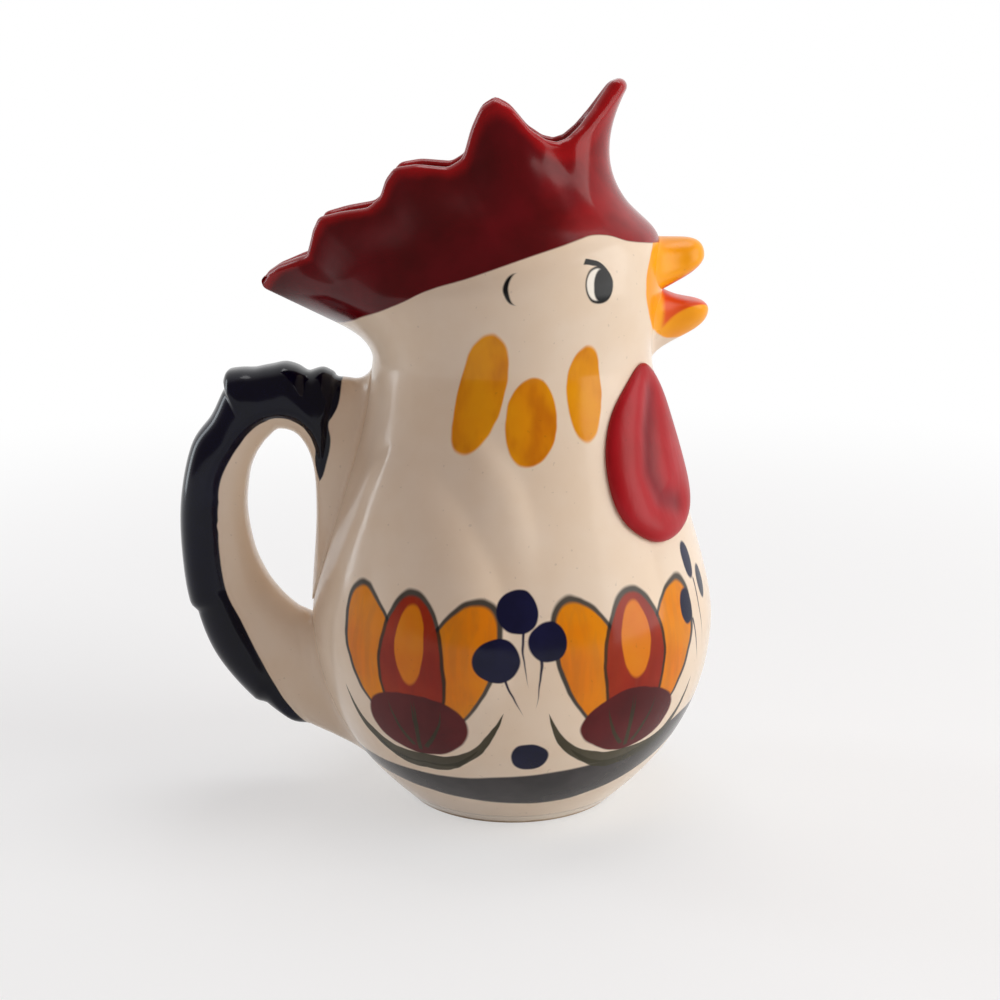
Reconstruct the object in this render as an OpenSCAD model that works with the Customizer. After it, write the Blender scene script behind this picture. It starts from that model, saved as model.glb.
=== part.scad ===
// Rooster pitcher, hand-built in clay: a thrown body, a modelled head with an open comb as
// its mouth, and a beak, wattles, wings, handle and tail feathers luted on before firing.
// Frame: +Z up, +X towards the beak, handle at -X, origin at the foot's centre on the table.

/* [Belly] */
// Radius of the belly at its widest
belly_r = 58; // [53:0.5:64]
// Height of the widest part of the belly
belly_z = 54; // [46:1:62]
// Radius of the neck at the seam with the head
neck_r = 39.4; // [36:0.2:43]
// Height of the seam between the neck and the head
neck_z = 128; // [120:1:133]
// Thickness of the clay wall
wall = 4.5; // [3:0.25:5.5]
// Thickness of the floor
floor_t = 5; // [4:0.5:8]

/* [Foot] */
// Outer radius of the foot where it rests
foot_r = 31; // [27:0.5:34]
// Height of the foot ring
foot_h = 3; // [2:0.5:6]
// Width of the ring that rests on the table
foot_w = 5; // [3:0.5:8]

/* [Head] */
// How far the cheeks swell beyond the neck
cheek_swell = 2.6; // [0.6:0.2:5]
// Height of the cheeks
cheek_z = 152; // [146:1:158]
// Height of the nape, where the comb starts at the back
nape_z = 137; // [134:0.5:141]
// How much higher the comb starts at the brow than at the nape
brow_rise = 27; // [22:0.5:30]
// How far the nape flares back under the comb
nape_flare = 7; // [3:0.5:10]

/* [Comb] */
// Height of the pouring lip, the highest point of the comb
comb_top_z = 204.3; // [196:0.5:212]
// How far the comb's rear point reaches behind the axis
comb_back_x = 69.6; // [62:0.5:74]
// Height of the comb's rear point
comb_back_z = 147.7; // [145:0.5:152]
// How far the pouring lip reaches in front of the axis
comb_front_x = 31.4; // [28:0.2:35]
// Half of the comb's greatest width at its rim
comb_half_w = 29; // [24:0.5:34]
// How far the comb is drawn in above the brow
brow_pinch = 12; // [8:0.5:15]
// How far the comb is drawn in at its sides
side_pinch = 3; // [1:0.5:5]

/* [Beak] */
// Half of the beak's width where it meets the head
beak_half_w = 11.5; // [9:0.5:14]
// Height of the beak's ridge
beak_top_z = 162; // [159:0.5:163.5]
// Height of the mouth's corner
mouth_z = 147.8; // [145:0.2:150]
// Height of the chin under the beak
chin_z = 127; // [125:0.5:132]
// How far the upper beak reaches in front of the head's cheeks
upper_beak_out = 11.4; // [8:0.2:15]
// How far the lower beak reaches in front of the head's cheeks
lower_beak_out = 13; // [9:0.2:17]
// How far the beak's halves stand open at their tips
gape = 9; // [6:0.5:11]
// How far the beak's underside climbs from the chin to its tip
chin_rise = 9; // [5:0.5:11]

/* [Wattles] */
// Height of the wattles from top to bottom
wattle_h = 46.5; // [38:0.5:52]
// Height of the wattles' lowest point above the table
wattle_z = 83; // [78:0.5:90]
// Width of each wattle, measured round the throat
wattle_w = 39; // [30:0.5:42]
// Thickness of each wattle at its middle
wattle_t = 4.2; // [3:0.2:6]
// Distance of each wattle from the middle of the throat
wattle_gap = 4.5; // [2:0.5:8]

/* [Wings] */
// Height of each wing from top to bottom
wing_h = 76; // [60:1:78]
// Height of the wings' lowest point above the table
wing_z = 40; // [34:1:46]
// Width of each wing, measured round the belly
wing_w = 66; // [54:1:68]
// Thickness of each of the two layers of a wing
wing_t = 1.1; // [0.8:0.1:2]

/* [Handle] */
// How far the handle stands out behind the belly's widest radius
handle_out = 38; // [34:0.5:46]
// Height of the handle's highest point
handle_top_z = 127.3; // [120:0.5:131]
// Height of the handle's lower root
handle_low_z = 8; // [6:0.5:14]
// Half of the handle's width across the grip
handle_half_w = 9; // [7.5:0.25:11]
// Thickness of the tail feathers laid along the handle's outer side
feather_t = 2.6; // [1.6:0.2:3.2]

/* [Hidden] */

// Clay joint between a piece luted on and the curved skin that carries it
lute_gap = 0.3;
// Glaze colours
cream = [0.93, 0.87, 0.78];
bare_clay = [0.85, 0.78, 0.68];
comb_red = [0.55, 0.05, 0.08];
beak_yellow = [0.98, 0.65, 0.05];
wattle_red = [0.70, 0.08, 0.12];
feather_blue = [0.05, 0.06, 0.14];

// Facets: round the head and comb, up the head, up the comb, and round small pieces
ring_n = 108;
head_n = 6;
comb_n = 8;
inner_n = 5;
small_n = 24;
// Steps in each stretch of a curved outline
curve_n = 14;
// Angular facets of the turned pieces
turned_fn = 180;

// Cubic Bezier curve through control points, and the point at t on it
function bez(p, t) = p[0] * pow(1 - t, 3) + 3 * p[1] * t * pow(1 - t, 2)
    + 3 * p[2] * t * t * (1 - t) + p[3] * pow(t, 3);
function bez_line(p, n) = [for (i = [0 : n]) bez(p, i / n)];
function unit(v) = v / norm(v);
function mix(a, b, t) = a + (b - a) * t;
// A sine or cosine made fuller, so that an oval section comes closer to its box
function full_curve(c, share) = sign(c) * pow(abs(c), share);
// Smooth curve through a list of points, closed or open, at station t
function spline_at(p, t, closed) =
    let (n = len(p), i = floor(t), f = t - i,
         at = function (k) closed ? p[(k + n) % n] : p[max(0, min(n - 1, k))],
         a = at(i - 1), b = at(i), c = at(i + 1), d = at(i + 2))
    0.5 * (2 * b + (c - a) * f + (2 * a - 5 * b + 4 * c - d) * f * f
        + (3 * b - a - 3 * c + d) * pow(f, 3));

// Outer skin of the turned body, from the top of the foot to the neck
foot_top_r = foot_r + foot_h;
lower_skin = [[foot_top_r, foot_h],
              [mix(foot_top_r, belly_r, 0.56), mix(foot_h, belly_z, 0.25)],
              [belly_r, mix(foot_h, belly_z, 0.56)], [belly_r, belly_z]];
upper_skin = [[belly_r, belly_z], [belly_r, mix(belly_z, neck_z, 0.22)],
              [mix(neck_r, belly_r, 0.14), mix(belly_z, neck_z, 0.68)], [neck_r, neck_z]];
belly_line = concat(bez_line(lower_skin, curve_n),
                    [for (i = [1 : curve_n]) bez(upper_skin, i / curve_n)]);
// The same skin moved in by the wall, square to the surface
function square_in(line, i) =
    let (a = line[max(0, i - 1)], b = line[min(len(line) - 1, i + 1)], d = unit(b - a))
    line[i] + wall * [-d.y, d.x];
inner_line = [for (i = [0 : len(belly_line) - 2]) square_in(belly_line, i)];
floor_z = foot_h + floor_t;
floor_r = lookup(floor_z, [for (p = inner_line) [p.y, p.x]]);

// Radius of the head at its cheeks and brow, where the beak is seated
head_r = neck_r + cheek_swell;
brow_z = nape_z + brow_rise;
head_line = concat(
    bez_line([[neck_r, neck_z], [mix(neck_r, head_r, -0.2), mix(neck_z, cheek_z, 0.25)],
              [head_r, mix(neck_z, cheek_z, 0.5)], [head_r, cheek_z]], curve_n),
    [[mix(head_r, neck_r, 0.35), brow_z]]);
skin_line = concat(belly_line, [for (i = [1 : len(head_line) - 1]) head_line[i]]);
skin_table = [for (p = skin_line) [p.y, p.x]];
// Radius of the outer skin at a height, front of the nape's flare
function skin_r(z) = lookup(z, skin_table);
// A point at an angle from the front, a height, and a distance off the skin
function on_skin(a, z, off) = [(skin_r(z) + off) * cos(a), (skin_r(z) + off) * sin(a), z];

// The comb's rim: height against length, as shares from its rear point to its lip
rim_shares = [[0, 0], [0.02, 0.058], [0.047, 0.099], [0.102, 0.148], [0.130, 0.170],
              [0.146, 0.297], [0.166, 0.362], [0.230, 0.392], [0.304, 0.415], [0.335, 0.468],
              [0.350, 0.553], [0.376, 0.606], [0.437, 0.622], [0.521, 0.610], [0.560, 0.655],
              [0.582, 0.784], [0.608, 0.878], [0.647, 0.917], [0.689, 0.880], [0.739, 0.780],
              [0.783, 0.735], [0.821, 0.722], [0.850, 0.737], [0.888, 0.790], [0.93, 0.868],
              [0.966, 0.944], [0.985, 0.988], [1, 1]];
comb_l = comb_back_x + comb_front_x;
// The rounded edge stands this much above the skin's cut
edge_h = wall / 3;
comb_h = comb_top_z - edge_h - comb_back_z;
function rim_z(x) = comb_back_z + comb_h * lookup((x + comb_back_x) / comb_l, rim_shares);

// Height of the seam between head and comb at an angle from the front
function seam_z(a) = nape_z + brow_rise * abs(cos(a / 2));
// Skin of the head at an angle, from the neck at 0 to the comb's seam at 1
function head_skin(a, v) =
    let (z = mix(neck_z, seam_z(a), v), r = skin_r(z) + nape_flare * v * v * pow(max(0, -cos(a)), 3))
    [r * cos(a), r * sin(a), z];
// The flaring crest that the comb's skin rises to, above every lobe of its rim
crest_rise_share = 1.1;
crest_narrow_share = 0.35;
function crest(a) =
    let (u = (1 + cos(a)) / 2)
    [mix(-comb_back_x, comb_front_x, u), comb_half_w * sin(a) * (1 - crest_narrow_share * (1 - u)),
     comb_back_z + comb_h * min(1, crest_rise_share * pow(u, 0.6))];
// Skin of the comb at an angle, from the seam at 0 to the crest at 1
function comb_skin(a, w) =
    let (s = head_skin(a, 1), c = crest(a),
         pinch = cos(a) > 0 ? mix(side_pinch, brow_pinch, cos(a)) : side_pinch * (1 + cos(a)),
         inward = -pinch * [cos(a), sin(a), 0.3])
    bez([s, mix(s, c, 1 / 3) + inward, mix(s, c, 2 / 3) + inward, c], w);
// Share of the way to the crest at which the rim cuts the skin, found by halving
function rim_share(a, lo = 0.2, hi = 1.3, n = 14) =
    let (m = (lo + hi) / 2, p = comb_skin(a, m))
    n == 0 ? m : p.z < rim_z(p.x) ? rim_share(a, m, hi, n - 1) : rim_share(a, lo, m, n - 1);
// Skin of head and comb as one surface: 0 to 1 is the head, 1 to 2 the comb up to its crest
function full_skin(a, v) = v <= 1 ? head_skin(a, v) : comb_skin(a, v - 1);
probe_share = 0.02;
function skin_normal(a, v) =
    unit(cross(full_skin(a + 1, v) - full_skin(a - 1, v),
               full_skin(a, v + probe_share) - full_skin(a, max(0, v - probe_share))));
function inner_skin(a, v) =
    v == 0 ? (neck_r - wall) * [cos(a), sin(a), 0] + [0, 0, neck_z]
           : full_skin(a, v) - wall * skin_normal(a, v);
function ring(at) = [for (i = [0 : ring_n - 1]) at(360 * i / ring_n)];

// Two triangles for each cell between neighbouring rings
function band(j, k, n) =
    [for (i = [0 : n - 1]) let (h = (i + 1) % n)
        each [[j * n + i, k * n + i, k * n + h], [j * n + i, k * n + h, j * n + h]]];
// A solid whose rings close on themselves, as a tube with an open mouth does
module ring_tube(rings) {
    n = len(rings[0]);
    m = len(rings);
    polyhedron(points = [for (r = rings) each r],
               faces = [for (j = [0 : m - 1]) each band(j, (j + 1) % m, n)]);
}
// A solid of rings closed by a pole point at each end
module ring_blob(rings, first_pole, last_pole) {
    n = len(rings[0]);
    m = len(rings);
    polyhedron(points = concat([for (r = rings) each r], [first_pole, last_pole]),
               faces = concat([for (j = [0 : m - 2]) each band(j, j + 1, n)],
                              [for (i = [0 : n - 1]) [m * n, i, (i + 1) % n]],
                              [for (i = [0 : n - 1]) let (h = (m - 1) * n)
                                  [m * n + 1, h + (i + 1) % n, h + i]]));
}

// A solid of sections that each wrap round something: a row of points out along the outer side
// and the same number back along the inner side, with a strip across each end
module wrap_solid(rings) {
    n = len(rings[0]);
    h = (len(rings) - 1) * n;
    half = [for (i = [0 : n / 2 - 2]) i];
    polyhedron(points = [for (r = rings) each r],
               faces = concat([for (j = [0 : len(rings) - 2]) each band(j, j + 1, n)],
                              [for (i = half) each [[i, i + 1, n - 2 - i],
                                                    [i, n - 2 - i, n - 1 - i]]],
                              [for (i = half) each [[h + i + 1, h + i, h + n - 1 - i],
                                                    [h + i + 1, h + n - 1 - i, h + n - 2 - i]]]));
}

// Unglazed ring turned on the base, with a shallow recess inside it
module foot_ring() {
    color(bare_clay)
        rotate_extrude($fn = turned_fn)
            polygon([[foot_r - foot_w, 0], [foot_r, 0], [foot_top_r, foot_h],
                     [foot_r - foot_w - foot_h / 2, foot_h]]);
}

// Thrown belly and neck, open at the top
module belly() {
    color(cream)
        rotate_extrude($fn = turned_fn)
            polygon(concat([[0, foot_h]], belly_line, [[neck_r - wall, neck_z]],
                           [for (i = [len(inner_line) - 1 : -1 : 0])
                               if (inner_line[i].y > floor_z) inner_line[i]],
                           [[floor_r, floor_z], [0, floor_z]]));
}

// Head from the neck to the seam under the comb, hollow right through
module head() {
    outer = [for (k = [0 : head_n]) ring(function (a) full_skin(a, k / head_n))];
    inner = [for (k = [inner_n : -1 : 0]) ring(function (a) inner_skin(a, k / inner_n))];
    color(cream) ring_tube(concat(outer, inner));
}

// Comb: the scalloped crown that is the pitcher's mouth, with its pouring lip at the front
module comb() {
    share = ring(function (a) rim_share(a));
    function level(at, k, n) = [for (i = [0 : ring_n - 1]) at(360 * i / ring_n, 1 + share[i] * k / n)];
    outer = [for (k = [0 : comb_n]) level(function (a, v) full_skin(a, v), k, comb_n)];
    inner = [for (k = [inner_n : -1 : 0]) level(function (a, v) inner_skin(a, v), k, inner_n)];
    lip = [for (i = [0 : ring_n - 1])
        (outer[comb_n][i] + inner[0][i]) / 2 + [0, 0, edge_h]];
    color(comb_red) ring_tube(concat(outer, [lip], inner));
}

// Half of a beak: sections from the head's skin out to a rounded tip. Each section spans
// from its low line to its high line, and scoop hollows its upper face
beak_square_share = 0.65;
module beak_half(tip_x, tip_z, low, high, low_rise, low_bow, high_drop, half_w, scoop) {
    n = 9;
    function section(s) =
        let (round_end = sqrt(1 - pow(s, 7)),
             zl = mix(tip_z, low + low_rise * pow(s, low_bow), round_end),
             zh = mix(tip_z, high - high_drop * s, round_end),
             w = half_w * (1 - 0.3 * s) * round_end)
        [for (i = [0 : small_n - 1])
            let (f = 360 * i / small_n, y = w * full_curve(cos(f), beak_square_share),
                 dip = scoop * pow(max(0, sin(f)), 4) * 4 * s * (1 - s),
                 z = mix(zl, zh, (1 + full_curve(sin(f), beak_square_share)) / 2) - dip,
                 seat_x = sqrt(pow(skin_r(z) + lute_gap, 2) - y * y))
            [mix(seat_x, tip_x, s), y, z]];
    back = [for (p = section(0)) let (y = p.y / 2, z = mix(mix(low, high, 0.5), p.z, 0.5))
        [sqrt(pow(skin_r(z) + lute_gap, 2) - y * y), y, z]];
    mid_z = mix(low, high, 0.5);
    rings = concat([back], [for (k = [0 : n - 1]) section(1 - pow(1 - k / n, 1.6))]);
    color(beak_yellow)
        ring_blob(rings, [skin_r(mid_z) + lute_gap, 0, mid_z], [tip_x, 0, tip_z]);
}

module upper_beak() {
    beak_half(head_r + upper_beak_out, mix(mouth_z, beak_top_z, 0.66), mouth_z + lute_gap / 2,
              beak_top_z, gape * 0.7, 1, 0, beak_half_w, 0);
}

module lower_beak() {
    beak_half(head_r + lower_beak_out, mix(chin_z, mouth_z, 0.7), chin_z,
              mouth_z - lute_gap / 2, chin_rise, 0.6, gape * 0.25, beak_half_w * 0.93, gape * 0.15);
}

// Pad of clay laid on the body: rings from its middle out to its outline, which is a list of
// shares across its width and up its height. It lies at seat off the skin, and thick gives its
// thickness at a share across and up, and a share of the way out to the outline
module pad(outline, mid_share, start_a, width_a, low_z, height, levels, seat, thick) {
    n = 2 * len(outline);
    edge = [for (i = [0 : n - 1]) spline_at(outline, i / 2, true)];
    function spot(i, out, off) =
        let (s = mix(mid_share, edge[i], out))
        on_skin(start_a + width_a * s.x, low_z + height * s.y, off);
    function level(out, front) =
        [for (i = [n - 1 : -1 : 0])
            spot(i, out, seat + (front ? thick(mix(mid_share, edge[i], out), out) : 0))];
    rings = concat([for (k = [1 : levels]) level(k / levels, false)],
                   [for (k = [levels : -1 : 1]) level(k / levels, true)]);
    mid = function (off) on_skin(start_a + width_a * mid_share.x, low_z + height * mid_share.y, off);
    ring_blob(rings, mid(seat), mid(seat + thick(mid_share, 0)));
}

// Wattle outline, from its narrow top round its outer side to the throat, as shares
wattle_shares = [[0.465, 1.0], [0.69, 0.90], [0.885, 0.75], [0.985, 0.56], [1.0, 0.34],
                 [0.944, 0.168], [0.815, 0.054], [0.66, 0], [0.43, 0.02], [0.18, 0.11],
                 [0.03, 0.27], [0, 0.52], [0.10, 0.80], [0.28, 0.955]];
wattle_mid_share = [0.52, 0.42];
// Angle that a length covers round the body at a height
function angle_of(length, z) = 180 / PI * length / skin_r(z);
wattle_mid_z = wattle_z + wattle_h / 2;
module wattle() {
    fold = wattle_t / 4;
    color(wattle_red)
        pad(wattle_shares, wattle_mid_share, angle_of(wattle_gap, wattle_mid_z),
            angle_of(wattle_w, wattle_mid_z), wattle_z, wattle_h, 5, lute_gap,
            function (s, out) wattle_t * (0.2 + 0.8 * sqrt(1 - pow(out, 4)))
                - fold * cos(360 * min(0.25, abs(s.x - 0.45))) * (1 - out));
}
module wattle_left() { wattle(); }
module wattle_right() { mirror([0, 1, 0]) wattle(); }

// Wing outline, from its top down its front edge and back along its lower side
wing_shares = [[0.52, 1.0], [0.31, 0.965], [0.17, 0.87], [0.055, 0.63], [0.005, 0.42], [0.03, 0.22],
               [0.12, 0.09], [0.30, 0.01], [0.50, 0], [0.72, 0.06], [0.90, 0.22], [1.0, 0.46],
               [0.985, 0.72], [0.90, 0.88], [0.74, 0.975]];
wing_mid_share = [0.52, 0.5];
// The front edge's place, as a share of the half turn from the front to the back
wing_front_share = 0.43;
wing_front_turn = 180 * wing_front_share;
wing_turn = angle_of(wing_w, wing_z + wing_h / 2);
// The thin far side of a feather layer, as a share of its thickness
fade_share = 0.5;
module wing() {
    color(cream)
        pad(wing_shares, wing_mid_share, wing_front_turn, wing_turn, wing_z, wing_h, 5, lute_gap,
            function (s, out) wing_t * (out == 1 ? fade_share : 1));
}
// Covert: the upper layer of the wing, laid on the lower one along its shoulder
covert_shares = [[0.79, 0.905], [0.66, 0.90], [0.54, 0.85], [0.385, 0.735], [0.29, 0.63], [0.215, 0.48],
                 [0.19, 0.34], [0.24, 0.21], [0.37, 0.13], [0.54, 0.12], [0.72, 0.19], [0.84, 0.34],
                 [0.89, 0.55], [0.87, 0.78]];
covert_mid_share = [0.56, 0.50];
module covert() {
    color(cream)
        pad(covert_shares, covert_mid_share, wing_front_turn, wing_turn, wing_z, wing_h, 4,
            2 * lute_gap + wing_t, function (s, out) wing_t * (out == 1 ? fade_share : 1));
}
module wing_left() { wing(); }
module wing_right() { mirror([0, 1, 0]) wing(); }
module covert_left() { covert(); }
module covert_right() { mirror([0, 1, 0]) covert(); }

// Handle: sections between its outer side and the grip hole's side, listed from the neck
// round to the belly. Shares are of its reach behind the belly and of its height
handle_outer_shares = [[-0.47, 0.95], [-0.24, 0.981], [-0.05, 0.993], [0.13, 1.0],
                       [0.37, 0.993], [0.57, 0.98], [0.65, 0.943], [0.748, 0.880],
                       [0.905, 0.805], [0.998, 0.67], [1.0, 0.527], [0.937, 0.394],
                       [0.765, 0.264], [0.426, 0.144], [0.026, 0.065], [-0.5, 0.0]];
handle_hole_shares = [[-0.005, 0.436], [-0.047, 0.637], [-0.032, 0.754], [0.066, 0.821],
                      [0.21, 0.838], [0.305, 0.816], [0.36, 0.795], [0.413, 0.767],
                      [0.46, 0.723], [0.487, 0.637], [0.442, 0.541], [0.355, 0.474],
                      [0.25, 0.427], [0.145, 0.394], [0.074, 0.377], [0.013, 0.352]];
// Stations where one feather ends and the next begins, as shares of the handle's run
feather_end_shares = [0.073, 0.38, 0.733, 0.867, 0.953];
feather_space_share = 0.004;
handle_last = len(handle_outer_shares) - 1;
curl_from = handle_last * feather_end_shares[0];
curl_to = handle_last * feather_end_shares[1];
upper_to = handle_last * feather_end_shares[2];
middle_to = handle_last * feather_end_shares[3];
lower_to = handle_last * feather_end_shares[4];
feather_space = handle_last * feather_space_share;
handle_h = handle_top_z - handle_low_z;
function handle_place(s) = [-belly_r - handle_out * s.x, 0, handle_low_z + handle_h * s.y];
// How much the roots widen where they meet the body
root_spread_share = 0.18;
function handle_w(t) =
    handle_half_w * (1 + root_spread_share * pow(abs(2 * t / handle_last - 1), 4));
// Depth of the bed that the feathers lie in, which runs out towards the roots
function feather_bed(t) =
    (feather_t + lute_gap) * max(0, min(1, t - curl_from + 1, lower_to + 1 - t));
// A point on the handle's skin at station t, angle f round the section from its outer side,
// and a distance off it
square_share = 0.75;
function handle_skin(t, f, off) =
    let (o = handle_place(spline_at(handle_outer_shares, t, false)),
         i = handle_place(spline_at(handle_hole_shares, t, false)),
         long = norm(o - i) - feather_bed(t),
         dir = unit(o - i), mid = i + dir * long / 2,
         c = full_curve(cos(f), square_share), s = full_curve(sin(f), square_share))
    mid + dir * (long / 2 + off) * c + [0, (handle_w(t) + off) * s, 0];
// Moves a point of the handle out to the body's skin where it would reach inside it
function clear_of_body(p) =
    let (r = skin_r(p.z) + lute_gap, d = norm([p.x, p.y]))
    d >= r ? p : [-sqrt(r * r - p.y * p.y), p.y, p.z];
function on_body(p) =
    let (r = skin_r(p.z) + lute_gap) [-sqrt(r * r - p.y * p.y), p.y, p.z];
handle_n = 42;
handle_round_n = 20;
function handle_ring(t) =
    [for (i = [0 : handle_round_n - 1])
        let (p = handle_skin(t, 360 * i / handle_round_n, 0))
        t == 0 || t == handle_last ? on_body(p) : clear_of_body(p)];
function centre_of(r) = [for (k = [0 : 2]) [for (p = r) p[k]] * [for (p = r) 1 / len(r)]];
// Rings that close a root against the body's skin, from its middle out
function root_rings(r) =
    [for (k = [1 : 3]) [for (p = r) on_body(mix(centre_of(r), p, k / 4))]];
module handle() {
    rings = [for (k = [0 : handle_n]) handle_ring(handle_last * k / handle_n)];
    start = root_rings(rings[0]);
    end = root_rings(rings[handle_n]);
    color(cream)
        ring_blob(concat(start, rings, [end[2], end[1], end[0]]),
                  on_body(centre_of(rings[0])), on_body(centre_of(rings[handle_n])));
}

// Tail feather laid over the handle's outer side between two stations: it swells towards its
// free end, and its edges thin out down the handle's flanks
feather_wrap_share = 0.56;
curl_wrap_share = 0.61;
feather_round_n = 10;
// Thickness along the edges, as a share of that down the middle
edge_share = 0.3;
module tail_feather(from, to, n, wrap_share, swell_share) {
    function thick(s, g) =
        feather_t * (0.3 + 0.7 * mix(1 - swell_share, 1, s) * sqrt(max(0, 1 - pow(abs(2 * s - 1), 5))))
            * mix(edge_share, 1, sqrt(1 - pow(g, 4)));
    function side(s, off_share) =
        [for (i = [0 : feather_round_n])
            let (g = 2 * i / feather_round_n - 1)
            handle_skin(mix(from, to, s), g * 180 * wrap_share, lute_gap + off_share * thick(s, g))];
    color(feather_blue)
        wrap_solid([for (k = [0 : n])
            let (inner = side(k / n, 0))
            concat(side(k / n, 1), [for (i = [feather_round_n : -1 : 0]) inner[i]])]);
}
module tail_curl() { tail_feather(curl_from, curl_to, 12, curl_wrap_share, 0.1); }
module tail_feather_upper() {
    tail_feather(curl_to + feather_space, upper_to, 16, feather_wrap_share, 0.5);
}
module tail_feather_middle() {
    tail_feather(upper_to + feather_space, middle_to, 10, feather_wrap_share, 0.5);
}
module tail_feather_lower() {
    tail_feather(middle_to + feather_space, lower_to, 8, feather_wrap_share, 0.5);
}

foot_ring();
belly();
head();
comb();
upper_beak();
lower_beak();
wattle_left();
wattle_right();
wing_left();
wing_right();
covert_left();
covert_right();
handle();
tail_curl();
tail_feather_upper();
tail_feather_middle();
tail_feather_lower();
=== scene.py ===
"""Rooster pitcher in glazed, hand-painted earthenware.

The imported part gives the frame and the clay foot. This script models the glazed body with its
wavy comb, the handle with the feathers laid over it, the beak and the wattles as smooth clay,
and dresses each in painted glaze.
"""

from __future__ import annotations

import logging
import math
from dataclasses import dataclass
from enum import Enum
from functools import cached_property, partial, reduce
from typing import Sequence

import bmesh
import bpy
import numpy as np
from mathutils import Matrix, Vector

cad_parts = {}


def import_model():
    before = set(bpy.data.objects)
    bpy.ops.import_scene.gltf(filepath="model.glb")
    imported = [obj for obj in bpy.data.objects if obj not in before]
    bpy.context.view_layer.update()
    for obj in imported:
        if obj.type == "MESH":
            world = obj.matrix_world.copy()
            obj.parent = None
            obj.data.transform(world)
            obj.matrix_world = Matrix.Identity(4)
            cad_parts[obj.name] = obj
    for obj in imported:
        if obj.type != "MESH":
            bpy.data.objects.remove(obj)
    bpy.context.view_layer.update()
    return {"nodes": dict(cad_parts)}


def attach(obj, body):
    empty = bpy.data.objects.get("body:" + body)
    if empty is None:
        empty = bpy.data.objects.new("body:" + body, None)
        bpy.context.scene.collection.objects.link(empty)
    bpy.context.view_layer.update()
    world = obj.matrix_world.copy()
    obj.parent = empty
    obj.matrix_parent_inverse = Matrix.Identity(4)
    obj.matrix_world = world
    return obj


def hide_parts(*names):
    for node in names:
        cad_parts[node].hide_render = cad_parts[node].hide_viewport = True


LOG = logging.getLogger("rooster_pitcher")
MM = 0.001
FULL_TURN = 2 * math.pi
DEGREES = 180 / math.pi
BRUSH_WANDER = 1.2  # Millimetres that a brushed edge strays from its line.
POLE_GAP = 2e-6  # Points nearer than this are one, as at the two ends of a piece.
FAR = 1e9  # Farther than any distance here; one over it is nearer than any.

Socket = bpy.types.NodeSocket
Value = float | Sequence[float] | Socket
Spot = tuple[Socket, Socket]
Share = float | np.ndarray
Pair = tuple[float, float]
Line = tuple[Pair, ...]
Colour = tuple[float, float, float, float]


def mix(a: Share, b: Share, t: Share) -> Share:
    """Value a share t of the way from a to b."""
    return a + (b - a) * t


def smooth(low: float, high: float, x: np.ndarray) -> np.ndarray:
    """Smooth step from 0 at low to 1 at high."""
    t = np.clip((x - low) / (high - low), 0.0, 1.0)
    return t * t * (3 - 2 * t)


def bezier(p: Sequence[np.ndarray], t: Share) -> np.ndarray:
    """Points at shares t along the cubic curve of the four control points p."""
    u = 1 - t
    return p[0] * u**3 + 3 * p[1] * t * u**2 + 3 * p[2] * t * t * u + p[3] * t**3


def spline(points: Sequence[Sequence[float]], t: float) -> np.ndarray:
    """Finds a point of a smooth open curve through the listed points.

    Args:
        points: Points that the curve runs through.
        t: Station along the curve, counted in points.

    Returns:
        The point at that station.
    """
    n = len(points)
    i = min(int(math.floor(t)), n - 2)
    f = t - i
    a, b, c, d = (np.array(points[max(0, min(n - 1, k))]) for k in (i - 1, i, i + 1, i + 2))
    square, cube = 2 * a - 5 * b + 4 * c - d, 3 * b - a - 3 * c + d
    return 0.5 * (2 * b + (c - a) * f + square * f * f + cube * f**3)


def full(c: np.ndarray, share: float) -> np.ndarray:
    """Sine or cosine made fuller, so that an oval section nears its box."""
    return np.sign(c) * np.abs(c) ** share


def off_line(spots: np.ndarray, p: np.ndarray, q: np.ndarray) -> np.ndarray:
    """Measures how places lie off a straight piece of a line.

    Args:
        spots: The places, two numbers each.
        p: Where the piece starts.
        q: Where it ends.

    Returns:
        For each place, the way to it from the nearest point of the piece.
    """
    d = q - p
    t = np.clip(((spots - p) @ d) / (d @ d), 0, 1)
    return spots - (p + t[..., None] * d)


def cove(near: np.ndarray, width: float) -> np.ndarray:
    """Swell of a hollow round fillet, from 0 at its rim to its full width at the seam."""
    return width * (1 - np.sqrt(1 - near**2))


def along(r: Share, y: np.ndarray) -> np.ndarray:
    """How far along x a circle of radius r is where it is y to the side."""
    return np.sqrt(np.maximum(1.0, r * r - y * y))


def ring_angles(steps: int) -> np.ndarray:
    """Even angles round a full turn."""
    return FULL_TURN * np.arange(steps) / steps


def level_ring(a: np.ndarray, r: float, z: float) -> np.ndarray:
    """Points of a level circle at angles a."""
    return np.stack([r * np.cos(a), r * np.sin(a), np.full_like(a, z)], -1)


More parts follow.
